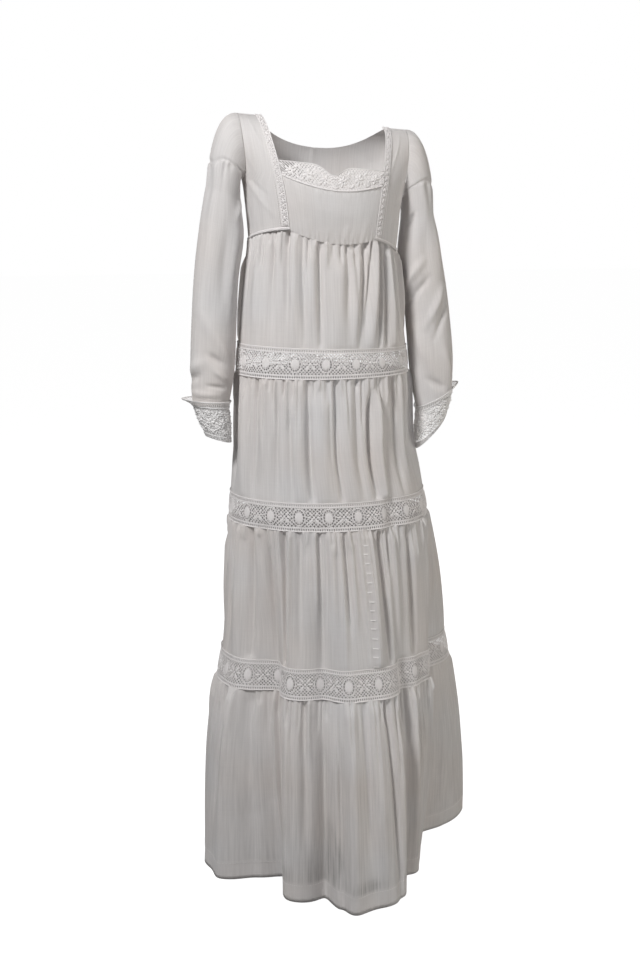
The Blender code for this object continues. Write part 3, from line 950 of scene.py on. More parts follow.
# Each main crease: angle, half width and height, share of the tier where it starts and ends,
# and how many degrees it drifts to the wearer's left on its way down
CREASES = {
    1: (
        (-62, 0.009, 0.0030, 0.00, 1.00, -1),
        (-47, 0.008, -0.0028, 0.05, 0.95, 1),
        (-34, 0.005, -0.0030, 0.00, 0.90, 1),
        (-28, 0.006, 0.0034, 0.00, 1.10, 0),
        (-21, 0.005, -0.0026, 0.00, 1.10, 0),
        (-15, 0.007, 0.0030, 0.05, 0.90, 1),
        (-9, 0.005, -0.0046, 0.00, 1.20, -1),
        (3, 0.010, 0.0034, 0.10, 1.10, 0),
        (9, 0.005, -0.0028, 0.00, 0.80, -1),
        (16, 0.006, 0.0030, 0.10, 1.10, -3),
        (23, 0.006, -0.0038, 0.00, 1.10, -6),
        (29, 0.004, -0.0034, 0.00, 1.00, -9),
        (34, 0.006, 0.0040, 0.00, 1.10, -8),
        (39, 0.004, -0.0042, 0.00, 1.20, -6),
        (45, 0.005, -0.0056, 0.00, 1.20, -4),
        (51, 0.005, 0.0036, 0.00, 1.20, -2),
        (57, 0.006, -0.0036, 0.00, 1.10, 2),
        (70, 0.008, -0.0040, 0.00, 1.00, 0),
    ),
    2: (
        (-84, 0.008, -0.0030, 0.00, 1.10, 0),
        (-70, 0.010, 0.0036, 0.05, 1.10, -1),
        (-57, 0.006, -0.0036, 0.00, 1.10, -1),
        (-49, 0.007, 0.0036, 0.00, 0.90, 0),
        (-40, 0.006, -0.0036, 0.10, 1.10, 0),
        (-31, 0.005, -0.0028, 0.20, 1.10, 1),
        (-25, 0.007, 0.0034, 0.00, 1.10, 0),
        (-18, 0.006, -0.0060, 0.00, 1.20, 0),
        (-9, 0.010, 0.0040, 0.05, 1.10, 0),
        (-1, 0.005, -0.0052, 0.00, 1.20, 1),
        (6, 0.008, 0.0034, 0.05, 1.10, 1),
        (13, 0.006, -0.0032, 0.00, 1.10, 0),
        (23, 0.007, -0.0070, 0.05, 1.30, -1),
        (29, 0.007, 0.0056, 0.05, 1.30, 0),
        (44, 0.006, -0.0046, 0.00, 1.10, 0),
        (52, 0.007, 0.0034, 0.00, 1.00, 0),
        (60, 0.006, -0.0040, 0.00, 1.10, 0),
    ),
    3: (
        (-80, 0.008, -0.0034, 0.05, 1.10, 0),
        (-70, 0.010, 0.0042, 0.00, 1.10, 0),
        (-60, 0.007, -0.0060, 0.00, 1.30, -1),
        (-54, 0.007, 0.0036, 0.00, 0.80, 0),
        (-49, 0.006, -0.0036, 0.10, 1.10, 0),
        (-36, 0.006, -0.0062, 0.00, 1.30, 0),
        (-32, 0.006, 0.0040, 0.00, 1.10, -1),
        (-26, 0.007, -0.0036, 0.00, 1.10, 0),
        (-21, 0.008, 0.0030, 0.10, 0.90, 0),
        (-15, 0.006, -0.0038, 0.00, 1.20, 0),
        (-9, 0.008, 0.0034, 0.00, 1.10, 0),
        (-4, 0.004, 0.0036, 0.00, 1.10, 0),
        (-1, 0.004, -0.0032, 0.00, 0.90, 0),
        (2, 0.004, 0.0032, 0.00, 0.80, 0),
        (13, 0.006, 0.0046, 0.00, 1.30, -1),
        (19, 0.008, -0.0070, 0.00, 1.30, 0),
        (30, 0.009, 0.0052, 0.00, 1.30, 1),
        (41, 0.008, -0.0066, 0.00, 1.20, 0),
        (60, 0.012, 0.0040, 0.00, 1.00, 0),
    ),
    4: (
        (-74, 0.008, -0.0040, 0.00, 0.80, 0),
        (-66, 0.010, 0.0050, 0.00, 1.20, 0),
        (-60, 0.009, -0.0070, 0.00, 1.30, 1),
        (-50, 0.007, 0.0050, 0.00, 1.20, 0),
        (-40, 0.008, -0.0040, 0.00, 0.90, 0),
        (-31, 0.009, 0.0046, 0.05, 1.10, 0),
        (-23, 0.007, -0.0046, 0.00, 0.90, 1),
        (-15, 0.011, -0.0064, 0.10, 1.30, 0),
        (-8, 0.007, -0.0066, 0.15, 1.30, 1),
        (-3, 0.010, 0.0060, 0.00, 1.20, 0),
        (3, 0.007, -0.0040, 0.00, 0.80, 1),
        (7, 0.008, 0.0046, 0.00, 1.10, 2),
        (13, 0.007, -0.0060, 0.00, 1.20, 3),
        (20, 0.008, 0.0044, 0.05, 1.20, 0),
        (28, 0.008, -0.0040, 0.00, 0.80, 0),
        (36, 0.009, 0.0056, 0.00, 1.20, 0),
        (42, 0.008, -0.0050, 0.05, 1.10, 0),
        (56, 0.010, 0.0048, 0.00, 1.10, 0),
    ),
}
HIDDEN_FROM = 74
HIDDEN_TO = 270
CREASE_DEPTH = 1.9
VALLEY_WIDTH = 0.8


def tier_creases(number, radius, count):
    """The main creases of a tier, with like ones round the sides and back."""
    chance = random.Random(number)
    creases = []
    for angle, half_width, height, start, end, drift in CREASES[number]:
        half_width *= VALLEY_WIDTH if height < 0 else 1.0
        creases.append((angle, half_width, height * CREASE_DEPTH, start, end, drift))
    place = HIDDEN_FROM
    while place < HIDDEN_TO:
        sign = -1 if len(creases) % 2 else 1
        creases.append(
            (
                place,
                chance.uniform(0.005, 0.010),
                sign * chance.uniform(0.0040, 0.0100),
                chance.choice((0.0, 0.0, 0.1)),
                chance.uniform(0.7, 1.3),
                chance.uniform(-2, 2),
            )
        )
        place += chance.uniform(5, 12)
    spacing = 360 / count
    for n in range(count):
        creases.append(
            (
                (n + chance.uniform(-0.35, 0.35)) * spacing,
                radius * radians(spacing) * chance.uniform(0.18, 0.32),
                chance.choice((1, -1, -1)) * chance.uniform(0.0022, 0.0052),
                0.0,
                chance.choice((0.10, 0.14, 0.20, 0.28, 0.40, 0.60)) * chance.uniform(0.8, 1.3),
                chance.uniform(-0.8, 0.8),
            )
        )
    return creases


STRIP_ANGLE = 9.2
STRIP_HALF_WIDTH = 0.009
STRIP_EDGE = 0.001
STRIP_RISE = 0.0014
STRIP_PITCH = 0.0165
STRIP_PUCKER = 0.0011
STRIP_PUCKER_WIDTH = 0.0022


def sewn_strip(away, down):
    """The relief of the strip down the third tier; away is across it and down along it."""
    edge = ease(abs(away), STRIP_HALF_WIDTH - STRIP_EDGE, STRIP_HALF_WIDTH + STRIP_EDGE)
    from_pucker = (down + STRIP_PITCH / 2) % STRIP_PITCH - STRIP_PITCH / 2
    pucker = STRIP_PUCKER * exp(-((from_pucker / STRIP_PUCKER_WIDTH) ** 2))
    return (1 - edge) * (STRIP_RISE + pucker)


def tier_relief(number, radius, count):
    creases = tier_creases(number, radius, count)
    reach = {
        index: (3.2 * crease[1] / radius) * 180 / pi + abs(crease[5]) + 2
        for index, crease in enumerate(creases)
    }

    @lru_cache(maxsize=None)
    def near(degrees):
        return [
            crease
            for index, crease in enumerate(creases)
            if abs((degrees - crease[0] + 180) % 360 - 180) < reach[index]
        ]

    def relief(angle, share):
        degrees = round(angle * 180 / pi, 3)
        out = 0.0
        for place, half_width, height, start, end, drift in near(degrees):
            if share >= end or share < start:
                continue
            t = (share - start) / (end - start)
            height *= ease(t, 0.0, 0.2) if start else 1.0
            away = radians((degrees - place - drift * share + 180) % 360 - 180) * radius
            widened = half_width * (1 + 0.5 * t)
            size = ease(t, 0.0, 0.06) * (1 - ease(t, 0.45, 1.0))
            out += height * (0.35 + 0.65 * size) * (1 - ease(t, 0.7, 1.0)) * exp(
                -((away / widened) ** 2)
            )
        if number == 3 and abs(degrees - STRIP_ANGLE) < 5:
            out += sewn_strip(radians(degrees - STRIP_ANGLE) * radius, share * TIER_3_DOWN)
        return out

    return relief


# Each tier: number, columns, rows, mean radius, gathers, cut across and down
TIERS = (
    (1, 780, 44, 0.135, 90, (0.90, 0.19)),
    (2, 860, 50, 0.155, 100, (1.10, 0.225)),
    (3, 960, 56, 0.200, 118, (1.44, TIER_3_DOWN)),
    (4, 1040, 70, 0.255, 140, (1.80, TIER_4_DOWN)),
)


def tier_top(number, angle):
    if number == 1:
        return empire_drop(angle)
    return BAND_TOPS[number - 2] + BAND_HEIGHTS[number - 2]


def tier_foot(number, angle):
    return BAND_TOPS[number - 1] if number < 4 else hem_drop(angle)


# Each see-through patch of the lowest tier: angle, half width, share down, half height
SHEER_PATCHES = (
    (-17, 5.5, 0.81, 0.11),
    (-10, 3.0, 0.76, 0.10),
    (-13, 2.5, 0.66, 0.08),
    (2, 5.5, 0.875, 0.030),
    (-33, 5.0, 0.86, 0.04),
)
# How far the weave of the two lower tiers is open all over, from 0 to 1
SHEER_TIER_3 = 0.14
SHEER_TIER_4 = 0.30


def closer_above(v):
    return 1 - (1 - v) ** ROW_SPREAD


tier_surfaces = {}
for tier_number, columns, rows, radius, count, cut in TIERS:
    relief = tier_relief(tier_number, radius, count)
    turned_up = HEM_DEPTH / cut[1] if tier_number == 4 else 0.0

    def tier(u, v, number=tier_number, relief=relief, turned_up=turned_up):
        angle = 2 * pi * u
        top = tier_top(number, angle) - TUCK
        foot = tier_foot(number, angle) + (0.0 if number == 4 else FOOT_TUCK)
        way = (1 - v) * (1 + turned_up)
        inside = HEM_FOLD if way > 1 else 0.0
        way = 2 - way if way > 1 else way
        drop = mix(top, foot, way)
        out = relief(angle, way) - inside
        out -= TUCK_DEPTH * exp(-(((drop - top) / TUCK_SOFTNESS) ** 2))
        if number < 4:
            seam = foot - FOOT_TUCK
            out = mix(out, -TUCK_DEPTH, ease(drop, seam - FOOT_EASE, seam))
        return skirt_point(angle, drop, out)

    def worn_thin(u, v, number=tier_number, turned_up=turned_up):
        if number < 4:
            return SHEER_TIER_3 if number == 3 else 0.0
        degrees = (u * 360 + 180) % 360 - 180
        way = (1 - v) * (1 + turned_up)
        if way > 1 - turned_up:
            return 0.0
        patches = sum(
            exp(-(((degrees - place) / wide) ** 2) - (((way - down) / tall) ** 2))
            for place, wide, down, tall in SHEER_PATCHES
        )
        return min(SHEER_TIER_4 * ease(way, 0.0, 0.4) + patches, 1.0)

    tier_surfaces[tier_number] = tier
    bm = cloth(tier, columns, rows, cut, closed=True, spread=closer_above, thin=worn_thin)
    tier_piece = piece(
        f"tier_cloth_{tier_number}", bm, voile, "voile", f"tier_{tier_number}"
    )

# Lace bands
# Wide cotton insertion lace between the tiers, with a corded ladder tape along both sides
# and a diagonal net of twisted threads between them. Oval leaves lie on the net, each in a
# ring of small holes, with bows of petals in between.

NET_PITCH = 0.0066
NET_THREAD = 0.0016
NET_HEIGHT = 0.0004
ON_NET = 0.0003
TAPE = 0.0088
RAIL = 0.0026
RUNG_PITCH = 0.0042
RUNG = 0.0023
RUNG_HEIGHT = 0.0003
CORD = 0.0016
CORD_HEIGHT = 0.0010
BAND_LIFT = 0.0009
LEAF_HEIGHT = 0.0019
LEAF_CORD = 0.0012
RING_ROOM = 0.0098
RING_CORD = 0.0020
SPOKES = 14
SPOKE = 0.0016
SPOKE_HEIGHT = 0.0006


def thread(bm, path, width, height, lift=0.0):
    """A thread laid flat along a path of points, raised along its middle."""
    count = len(path) - 1
    made = bmesh.ops.create_grid(bm, x_segments=count, y_segments=2, size=1)["verts"]
    for vert in made:
        column, row = round((vert.co.x + 1) / 2 * count), round(vert.co.y)
        before, after = path[max(column - 1, 0)], path[min(column + 1, count)]
        along = Vector((after[0] - before[0], after[1] - before[1])).normalized()
        x = path[column][0] - along.y * row * width / 2
        y = path[column][1] + along.x * row * width / 2
        vert.co = (x, y, lift + (0.0 if row else height))


def leaf(bm, centre, length, width, turn, height, blunt=0.75, vein=0.3, lift=0.0):
    """A raised leaf or petal of close stitches, with a crease along its middle."""
    made = bmesh.ops.create_grid(bm, x_segments=6, y_segments=4, size=1)["verts"]
    for vert in made:
        along, across = vert.co.x, vert.co.y
        rise = cos(pi / 2 * along * 0.999)
        x = along * length / 2
        y = across * width / 2 * rise**blunt
        crown = (1 - across**2) * rise**0.5 - vein * exp(-((across / 0.3) ** 2)) * rise
        vert.co = (
            centre[0] + x * cos(turn) - y * sin(turn),
            centre[1] + x * sin(turn) + y * cos(turn),
            lift + height * crown,
        )


def line(start, end, steps):
    return [
        (mix(start[0], end[0], n / steps), mix(start[1], end[1], n / steps))
        for n in range(steps + 1)
    ]


def oval(centre, wide, tall, steps=20):
    turns = [2 * pi * n / steps for n in range(steps + 1)]
    return [(centre[0] + wide / 2 * cos(t), centre[1] + tall / 2 * sin(t)) for t in turns]


def net(bm, width, low, high, pitch, thickness, steps):
    """A diagonal net between two heights, over a width that it crosses evenly."""
    strands = round(width / pitch)
    for n in range(strands):
        start = n * width / strands
        for lean in (-1, 1):
            end = start + lean * (high - low)
            thread(bm, line((start, low), (end, high), steps), thickness, NET_HEIGHT)


def knot(bm, centre, size, height, lift=ON_NET):
    """A small round knot of stitches."""
    leaf(bm, centre, size, size, 0.0, height, blunt=0.5, vein=0.0, lift=lift)


def flower(bm, centre, size, petals, height, lift=ON_NET):
    """A round flower of close stitches, with a knot in the middle."""
    for n in range(petals):
        turn = 2 * pi * (n + 0.25) / petals
        away = (centre[0] + size * 0.27 * cos(turn), centre[1] + size * 0.27 * sin(turn))
        leaf(bm, away, size * 0.5, size * 1.7 / petals, turn, height, 0.5, 0.35, lift)
    knot(bm, centre, size * 0.2, height * 1.5, lift + 0.0002)


def ladder(bm, width, low, edge):
    """A ladder tape along a side of the lace; edge is 1 where its cord is above it."""
    near, far = (low, low + TAPE) if edge < 0 else (low + TAPE, low)
    steps = round(width / 0.0045)
    for place in (near - edge * RAIL / 2, far + edge * RAIL / 2):
        thread(bm, line((0, place), (width, place), steps), RAIL, NET_HEIGHT)
    cord = near - edge * CORD / 2
    thread(bm, line((0, cord), (width, cord), steps), CORD, CORD_HEIGHT, ON_NET)
    rungs = round(width / RUNG_PITCH)
    for n in range(rungs):
        x = (n + 0.5) * width / rungs
        rung = [(x, low + RAIL * 0.8), (x, low + TAPE - RAIL * 0.8)]
        thread(bm, rung, RUNG, RUNG_HEIGHT)


def bow(bm, centre, reach):
    """A bow of six petals, with a knot at each tip and one in the middle."""
    for lean in (-1, 1):
        for up in (-1, 1):
            petal = (centre[0] + lean * reach * 0.50, centre[1] + up * reach * 0.60)
            turn = up * lean * radians(50)
            leaf(bm, petal, reach * 0.90, reach * 0.40, turn, 0.0008, 0.6, 0.35, ON_NET)
            tip = (centre[0] + lean * reach * 1.15, centre[1] + up * reach * 1.05)
            knot(bm, tip, 0.0034, 0.0009)
        side = (centre[0] + lean * reach * 0.85, centre[1])
        leaf(bm, side, reach * 0.80, reach * 0.34, 0.0, 0.0009, 0.7, 0.3, ON_NET)
    knot(bm, centre, 0.0052, 0.0013, 0.0004)


def band_lace(width, height, repeats, leaf_width, leaf_length):
    """The flat lace: one repeat, with a leaf at its start and a bow in its middle."""
    bm = bmesh.new()
    repeat = width / repeats
    middle = height / 2
    outer_width = leaf_width + RING_ROOM
    outer_length = min(leaf_length + RING_ROOM, height - 2 * TAPE)
    net(bm, repeat, TAPE - RAIL / 2, height - TAPE + RAIL / 2, NET_PITCH, NET_THREAD, 14)
    inside = []
    for face in bm.faces:
        centre = face.calc_center_median()
        away = (centre.x + repeat / 2) % repeat - repeat / 2
        if hypot(away / outer_width, (centre.y - middle) / outer_length) < 0.5:
            inside.append(face)
    bmesh.ops.delete(bm, geom=inside, context="FACES")
    ladder(bm, repeat, 0.0, -1)
    ladder(bm, repeat, height - TAPE, 1)
    leaf(bm, (0, middle), leaf_length, leaf_width, pi / 2, LEAF_HEIGHT, 0.45, 0.9, ON_NET)
    inner_ring = oval((0, middle), leaf_width + LEAF_CORD, leaf_length + LEAF_CORD)
    thread(bm, inner_ring, LEAF_CORD, CORD_HEIGHT, ON_NET)
    outer_ring = oval((0, middle), outer_width, outer_length)
    thread(bm, outer_ring, RING_CORD, CORD_HEIGHT, ON_NET)
    for n in range(SPOKES):
        turn = 2 * pi * (n + 0.5) / SPOKES
        near = (leaf_width / 2 * cos(turn), middle + leaf_length / 2 * sin(turn))
        far = (outer_width / 2 * cos(turn), middle + outer_length / 2 * sin(turn))
        thread(bm, [near, far], SPOKE, SPOKE_HEIGHT, ON_NET)
    bow(bm, (repeat / 2, middle), (height - 2 * TAPE) * 0.30)
    tile = list(bm.verts) + list(bm.edges) + list(bm.faces)
    for n in range(1, repeats):
        copy = bmesh.ops.duplicate(bm, geom=tile)["geom"]
        moved = [part for part in copy if isinstance(part, bmesh.types.BMVert)]
        bmesh.ops.translate(bm, verts=moved, vec=(n * repeat, 0, 0))
    return bm


def lay_lace(bm, surface, width, height, lift, flip=False):
    """Lays flat lace on a surface of u across and v up, and gives it its pattern map."""
    pattern = bm.loops.layers.uv.new("cloth")
    for face in bm.faces:
        face.smooth = True
        for loop in face.loops:
            loop[pattern].uv = loop.vert.co.xy
    side = -1 if flip else 1
    step = 0.0008
    for vert in bm.verts:
        u, v = vert.co.x / width, vert.co.y / height
        out = out_from(surface, u, v, step / width, step / height, side)
        vert.co = surface(u, v) + out * (lift + vert.co.z)
    if flip:
        bmesh.ops.reverse_faces(bm, faces=bm.faces)
    return bm


def lace_material(name, dark, light):
    """White cotton thread: soft, matt, and a little uneven from stitch to stitch."""
    made, tree, pattern = new_cotton(name)
    twist = slub(tree, pattern, 900.0, 900.0, 2.0)
    uneven = blend(tree, twist, 0.6, slub(tree, pattern, 60.0, 60.0, 2.0), 0.4)
    roughness = ramp(tree, uneven, 0.92, 0.75)
    matt_cotton(tree, ramp(tree, uneven, dark, light), roughness, twist, 0.5, 0.1, 0.12)
    return made


cotton = lace_material("cotton lace", (0.85, 0.815, 0.805, 1), (0.95, 0.925, 0.92, 1))


def round_skirt(drop, start, steps=1440):
    """The length around the skirt at a drop, and a function that gives the angle at a share
    of it."""
    angles = [start + 2 * pi * n / steps for n in range(steps + 1)]
    points = [skirt_point(angle, drop) for angle in angles]
    reached = [0.0]
    for before, after in zip(points, points[1:]):
        reached.append(reached[-1] + (after - before).length)

    def angle_of(share):
        turns, rest = divmod(share, 1.0)
        target = rest * reached[-1]
        n = min(max(bisect(reached, target) - 1, 0), steps - 1)
        t = (target - reached[n]) / (reached[n + 1] - reached[n])
        return mix(angles[n], angles[n + 1], t) + 2 * pi * turns

    return reached[-1], angle_of


# Each band: number, repeats, angle of one leaf in degrees, leaf width and length, thread area
BANDS = (
    (1, 16, -6.8, 0.0140, 0.0190, 0.045),
    (2, 20, -9.2, 0.0130, 0.0210, 0.055),
    (3, 25, -3.3, 0.0130, 0.0220, 0.080),
)

for number_of_band, repeats, leaf_angle, leaf_width, leaf_length, area in BANDS:
    top, height = BAND_TOPS[number_of_band - 1], BAND_HEIGHTS[number_of_band - 1]
    around, angle_of = round_skirt(top + height / 2, radians(leaf_angle))

    def band(u, v, top=top, height=height, angle_of=angle_of):
        return skirt_point(angle_of(u), top + height * (1 - v))

    bm = band_lace(around, height, repeats, leaf_width, leaf_length)
    lay_lace(bm, band, around, height, BAND_LIFT)
    lace = piece(
        f"band_lace_{number_of_band}", bm, cotton, "lace", f"lace_band_{number_of_band}"
    )

# Neckline lace
# A shaped piece of cotton lace sewn across the top of the bib: a diagonal net with round
# flowers, leaves and curved stems on it, and a cord along both edges.

NECK_LACE_WIDTH = 2 * BIB_HALF_WIDTH
NECK_LACE_HEIGHT = 0.034
NECK_FLOWERS = 6
NECK_FLOWER_PITCH = 0.0322
NECK_FLOWER_LINE = 0.0165


def edge_cord(bm, width, place, thickness, height, lift=ON_NET):
    steps = round(width / 0.003)
    thread(bm, line((0.0, place), (width, place), steps), thickness, height, lift)


def picots(bm, width, place, size, up):
    """A row of tiny loops along an edge."""
    count = round(width / size)
    for n in range(count):
        middle = (n + 0.5) * width / count
        loop = [
            (middle - size * 0.45 * cos(pi * k / 4), place + up * size * 0.6 * sin(pi * k / 4))
            for k in range(5)
        ]
        thread(bm, loop, 0.0009, 0.0005)


bm = bmesh.new()
net(bm, NECK_LACE_WIDTH, 0.001, NECK_LACE_HEIGHT - 0.001, 0.0056, 0.0018, 8)
for place, thickness in ((0.0011, 0.0024), (NECK_LACE_HEIGHT - 0.0009, 0.0018)):
    edge_cord(bm, NECK_LACE_WIDTH, place, thickness, 0.0016)
picots(bm, NECK_LACE_WIDTH, 0.0022, 0.0040, 1)
for n in range(NECK_FLOWERS):
    middle = (n + 0.5) * NECK_FLOWER_PITCH
    flower(bm, (middle, NECK_FLOWER_LINE), size=0.0190, petals=6, height=0.0024)
    for lean in (-1, 1):
        bend = 0.009 * lean * (1 if n % 2 else -1)
        stem = [
            (
                middle + lean * (0.009 + 0.012 * k / 6),
                NECK_FLOWER_LINE + bend * sin(pi * k / 6),
            )
            for k in range(7)
        ]
        thread(bm, stem, 0.0016, CORD_HEIGHT, ON_NET)
        for up in (-1, 1):
            tip = (middle + lean * 0.0130, NECK_FLOWER_LINE + up * 0.0095)
            leaf(bm, tip, 0.0095, 0.0044, up * lean * radians(35), 0.0020, lift=ON_NET)
for vert in bm.verts:
    vert.co.x = min(max(vert.co.x, 0.0), NECK_LACE_WIDTH)
neck_surface = bib_between(lace_foot_drop, neckline_drop)
lay_lace(bm, neck_surface, NECK_LACE_WIDTH, NECK_LACE_HEIGHT, BAND_LIFT)
neck_lace = piece("neck_lace", bm, cotton, "lace", "neckline_lace")

# Strap lace and underbust trim
# Narrow lace lies along the inner edge of each side front, and a raised white braid of two
# crossed cords is sewn over the lower seam.

STRAP_LACE_WIDTH = 0.012
STRAP_LACE_LENGTH = 0.205
STRAP_FLOWER = 0.0105
STRAP_PICOTS = 50
NARROW_LIFT = 0.0012
TRIM_HEIGHT = 0.005
TRIM_RISE = 0.0012
TRIM_LENGTH = 0.098
TRIM_WAVES = 22
TRIM_WAVE_HEIGHT = 0.0014

for name, side in SIDES.items():
    bm = bmesh.new()
    flowers = round(STRAP_LACE_LENGTH / STRAP_FLOWER)
    for n in range(flowers):
        up = (n + 0.5) * STRAP_LACE_LENGTH / flowers
        flower(bm, (STRAP_LACE_WIDTH / 2, up), size=0.0082, petals=5, height=0.0019)
        for lean in (-1, 1):
            bud = (STRAP_LACE_WIDTH / 2 + lean * 0.0034, up + STRAP_FLOWER / 2)
            leaf(bm, bud, 0.0048, 0.0022, 0.0, 0.0009, lift=ON_NET)
        for k in range(4):
            y = up + (k - 1.5) * STRAP_FLOWER / 4
            thread(bm, line((0.001, y), (STRAP_LACE_WIDTH - 0.001, y), 4), 0.0013, 0.0004)
    for x in (0.0009, STRAP_LACE_WIDTH - 0.0009):
        thread(bm, line((x, 0), (x, STRAP_LACE_LENGTH), 70), 0.0018, 0.0011, 0.0002)
    outer = STRAP_LACE_WIDTH if side > 0 else 0.0
    for n in range(STRAP_PICOTS):
        y = (n + 0.5) * STRAP_LACE_LENGTH / STRAP_PICOTS
        loop = [(outer, y - 0.0016), (outer + side * 0.0012, y), (outer, y + 0.0016)]
        thread(bm, loop, 0.0008, 0.0005)
    strip = side_front(side, STRAP_LACE_WIDTH, TRIM_RISE + TRIM_HEIGHT + SEAM_GAP)
    lay_lace(bm, strip, STRAP_LACE_WIDTH, STRAP_LACE_LENGTH, NARROW_LIFT)
    strap = piece("strap_lace_strip_" + name, bm, cotton, "lace", "strap_lace_" + name)

    bm = bmesh.new()
    for phase in (0, pi):
        cord = [
            (
                TRIM_LENGTH * k / (TRIM_WAVES * 8),
                TRIM_HEIGHT / 2 + TRIM_WAVE_HEIGHT * sin(2 * pi * k / 8 + phase),
            )
            for k in range(TRIM_WAVES * 8 + 1)
        ]
        thread(bm, cord, 0.0017, 0.0016, 0.0006)
    for place in (0.0006, TRIM_HEIGHT - 0.0006):
        edge_cord(bm, TRIM_LENGTH, place, 0.0012, 0.0009)
    edge_cord(bm, TRIM_LENGTH, TRIM_HEIGHT / 2, TRIM_HEIGHT, 0.0003, 0.0)
    trim = side_front(side, 0.0, TRIM_RISE, TRIM_HEIGHT)
    lay_lace(bm, trim, TRIM_LENGTH, TRIM_HEIGHT, NARROW_LIFT)
    braid = piece("underbust_braid_" + name, bm, cotton, "trim", "underbust_trim_" + name)

# Cuff lace
# A flared gauntlet of thick floral lace on each sleeve, with a turned-out edge above, which
# comes to a point on the outer side, and a ladder tape at the wrist.

# Each cuff row: way down the cuff, drop, slant, centre across, half width, half depth
CUFFS = {
    "left": (
        (0.00, 0.5060, 0.023, 0.2180, 0.0400, 0.0430),
        (0.15, 0.5160, 0.023, 0.2155, 0.0339, 0.0389),
        (0.55, 0.5460, 0.028, 0.2120, 0.0320, 0.0360),
        (1.00, 0.5770, 0.034, 0.2080, 0.0285, 0.0310),
    ),
    "right": (
        (0.00, 0.5040, 0.003, 0.2215, 0.0435, 0.0430),
        (0.15, 0.5160, 0.003, 0.2155, 0.0339, 0.0389),
        (0.55, 0.5480, 0.005, 0.2085, 0.0285, 0.0340),
        (1.00, 0.5790, 0.007, 0.2015, 0.0225, 0.0290),
    ),
}
CUFF_DEPTH_CENTRE = -0.018
CUFF_JOINT = 0.15
CUFF_TIP = 0.004
CUFF_AROUND = 0.225
CUFF_DOWN = 0.078
CUFF_FLOWERS = 8
CUFF_RUNG_PITCH = 0.0036
CUFF_LIFT = 0.0006
WRIST_TAPE = 0.0105
WRIST_CORDS = 4


@lru_cache(maxsize=None)
def cuff_row(name, way):
    return tuple(at(CUFFS[name], way, column) for column in range(1, 6))


def cuff_point(name, turn, way):
    """The cuff, from its turned-out upper edge with the pointed tip down to the wrist."""
    side = SIDES[name]
    drop, slant, across, half_width, half_depth = cuff_row(name, round(way, 4))
    point = ring_point(
        side, turn, drop, slant, across, CUFF_DEPTH_CENTRE, half_width, half_depth
    )
    share = max(cos(2 * pi * turn), 0) ** 12 * max(1 - way / CUFF_JOINT, 0)
    point.x += side * CUFF_TIP * share
    return point


# Painted light: the cuff lace's colour is lighter than the band lace's, to make up for the
# little lamp light that reaches the cuffs, which face down
white = lace_material("cuff lace painted lighter", (0.95, 0.93, 0.925, 1), (0.99, 0.98, 0.975, 1))


def cuff_lace():
    """The flat cuff lace, from the wrist up to the turned-out edge."""
    bm = bmesh.new()
    joint = CUFF_DOWN * (1 - CUFF_JOINT)
    net(bm, CUFF_AROUND, WRIST_TAPE - 0.001, joint, 0.0052, 0.0018, 12)
    edge_cord(bm, CUFF_AROUND, WRIST_TAPE / 2, WRIST_TAPE, 0.0002, 0.0)
    for n in range(WRIST_CORDS):
        place = 0.0009 + n * (WRIST_TAPE - 0.0018) / (WRIST_CORDS - 1)
        edge_cord(bm, CUFF_AROUND, place, 0.0016, 0.0014)
    edge_cord(bm, CUFF_AROUND, joint, 0.0022, 0.0012)
    edge_cord(bm, CUFF_AROUND, CUFF_DOWN - 0.0012, 0.0024, 0.0010)
    rungs = round(CUFF_AROUND / CUFF_RUNG_PITCH)
    for n in range(rungs):
        x = (n + 0.5) * CUFF_AROUND / rungs
        thread(bm, line((x, joint), (x, CUFF_DOWN - 0.001), 3), 0.0021, 0.0005)
    picots(bm, CUFF_AROUND, CUFF_DOWN - 0.0006, CUFF_RUNG_PITCH, 1)
    middle = (WRIST_TAPE + joint) / 2
    pitch = CUFF_AROUND / CUFF_FLOWERS
    for n in range(CUFF_FLOWERS):
        x = (n + 0.5) * pitch
        between = x + pitch / 2
        flower(bm, (x, middle), size=0.0200, petals=6, height=0.0026)
        thread(bm, oval((x, middle), 0.0228, 0.0228), 0.0018, CORD_HEIGHT, ON_NET)
        for up in (-1, 1):
            flower(bm, (between, middle + up * 0.0100), size=0.0140, petals=5, height=0.0022)
            flower(bm, (x, middle + up * 0.0185), size=0.0120, petals=5, height=0.0022)
            for lean in (-1, 1):
                tip = (x + lean * 0.0085, middle + up * 0.0140)
                leaf(bm, tip, 0.0085, 0.0040, up * lean * radians(-40), 0.0016, lift=ON_NET)
                tip = (between + lean * 0.0042, middle + up * 0.0190)
                leaf(bm, tip, 0.0080, 0.0040, up * lean * radians(60), 0.0016, lift=ON_NET)
        leaf(bm, (between, middle), 0.0058, 0.0040, 0.0, 0.0014, lift=ON_NET)
    return bm


for name, side in SIDES.items():

    def cuff(u, v, name=name):
        return cuff_point(name, u, 1 - v)

    bm = cuff_lace()
    lay_lace(bm, cuff, CUFF_AROUND, CUFF_DOWN, CUFF_LIFT, flip=side > 0)
    cuff_piece = piece("cuff_lace_cloth_" + name, bm, white, "lace", "cuff_lace_" + name)

# Stitches
# Rows of small machine stitches hold the hem, the sleeve heads, the princess seams, the
# shoulder edges and the centre back, and short bars cross the strip down the third tier.

STITCH_PITCH = 0.0046
STITCH_LENGTH = 0.0031
STITCH_THREAD = 0.0007
STITCH_HEIGHT = 0.0004
STITCH_LIFT = 0.0002
STRIP_BARS = 14
FIRST_BAR = 0.012
BAR_WIDTH = 0.0026
BAR_HEIGHT = 0.0009


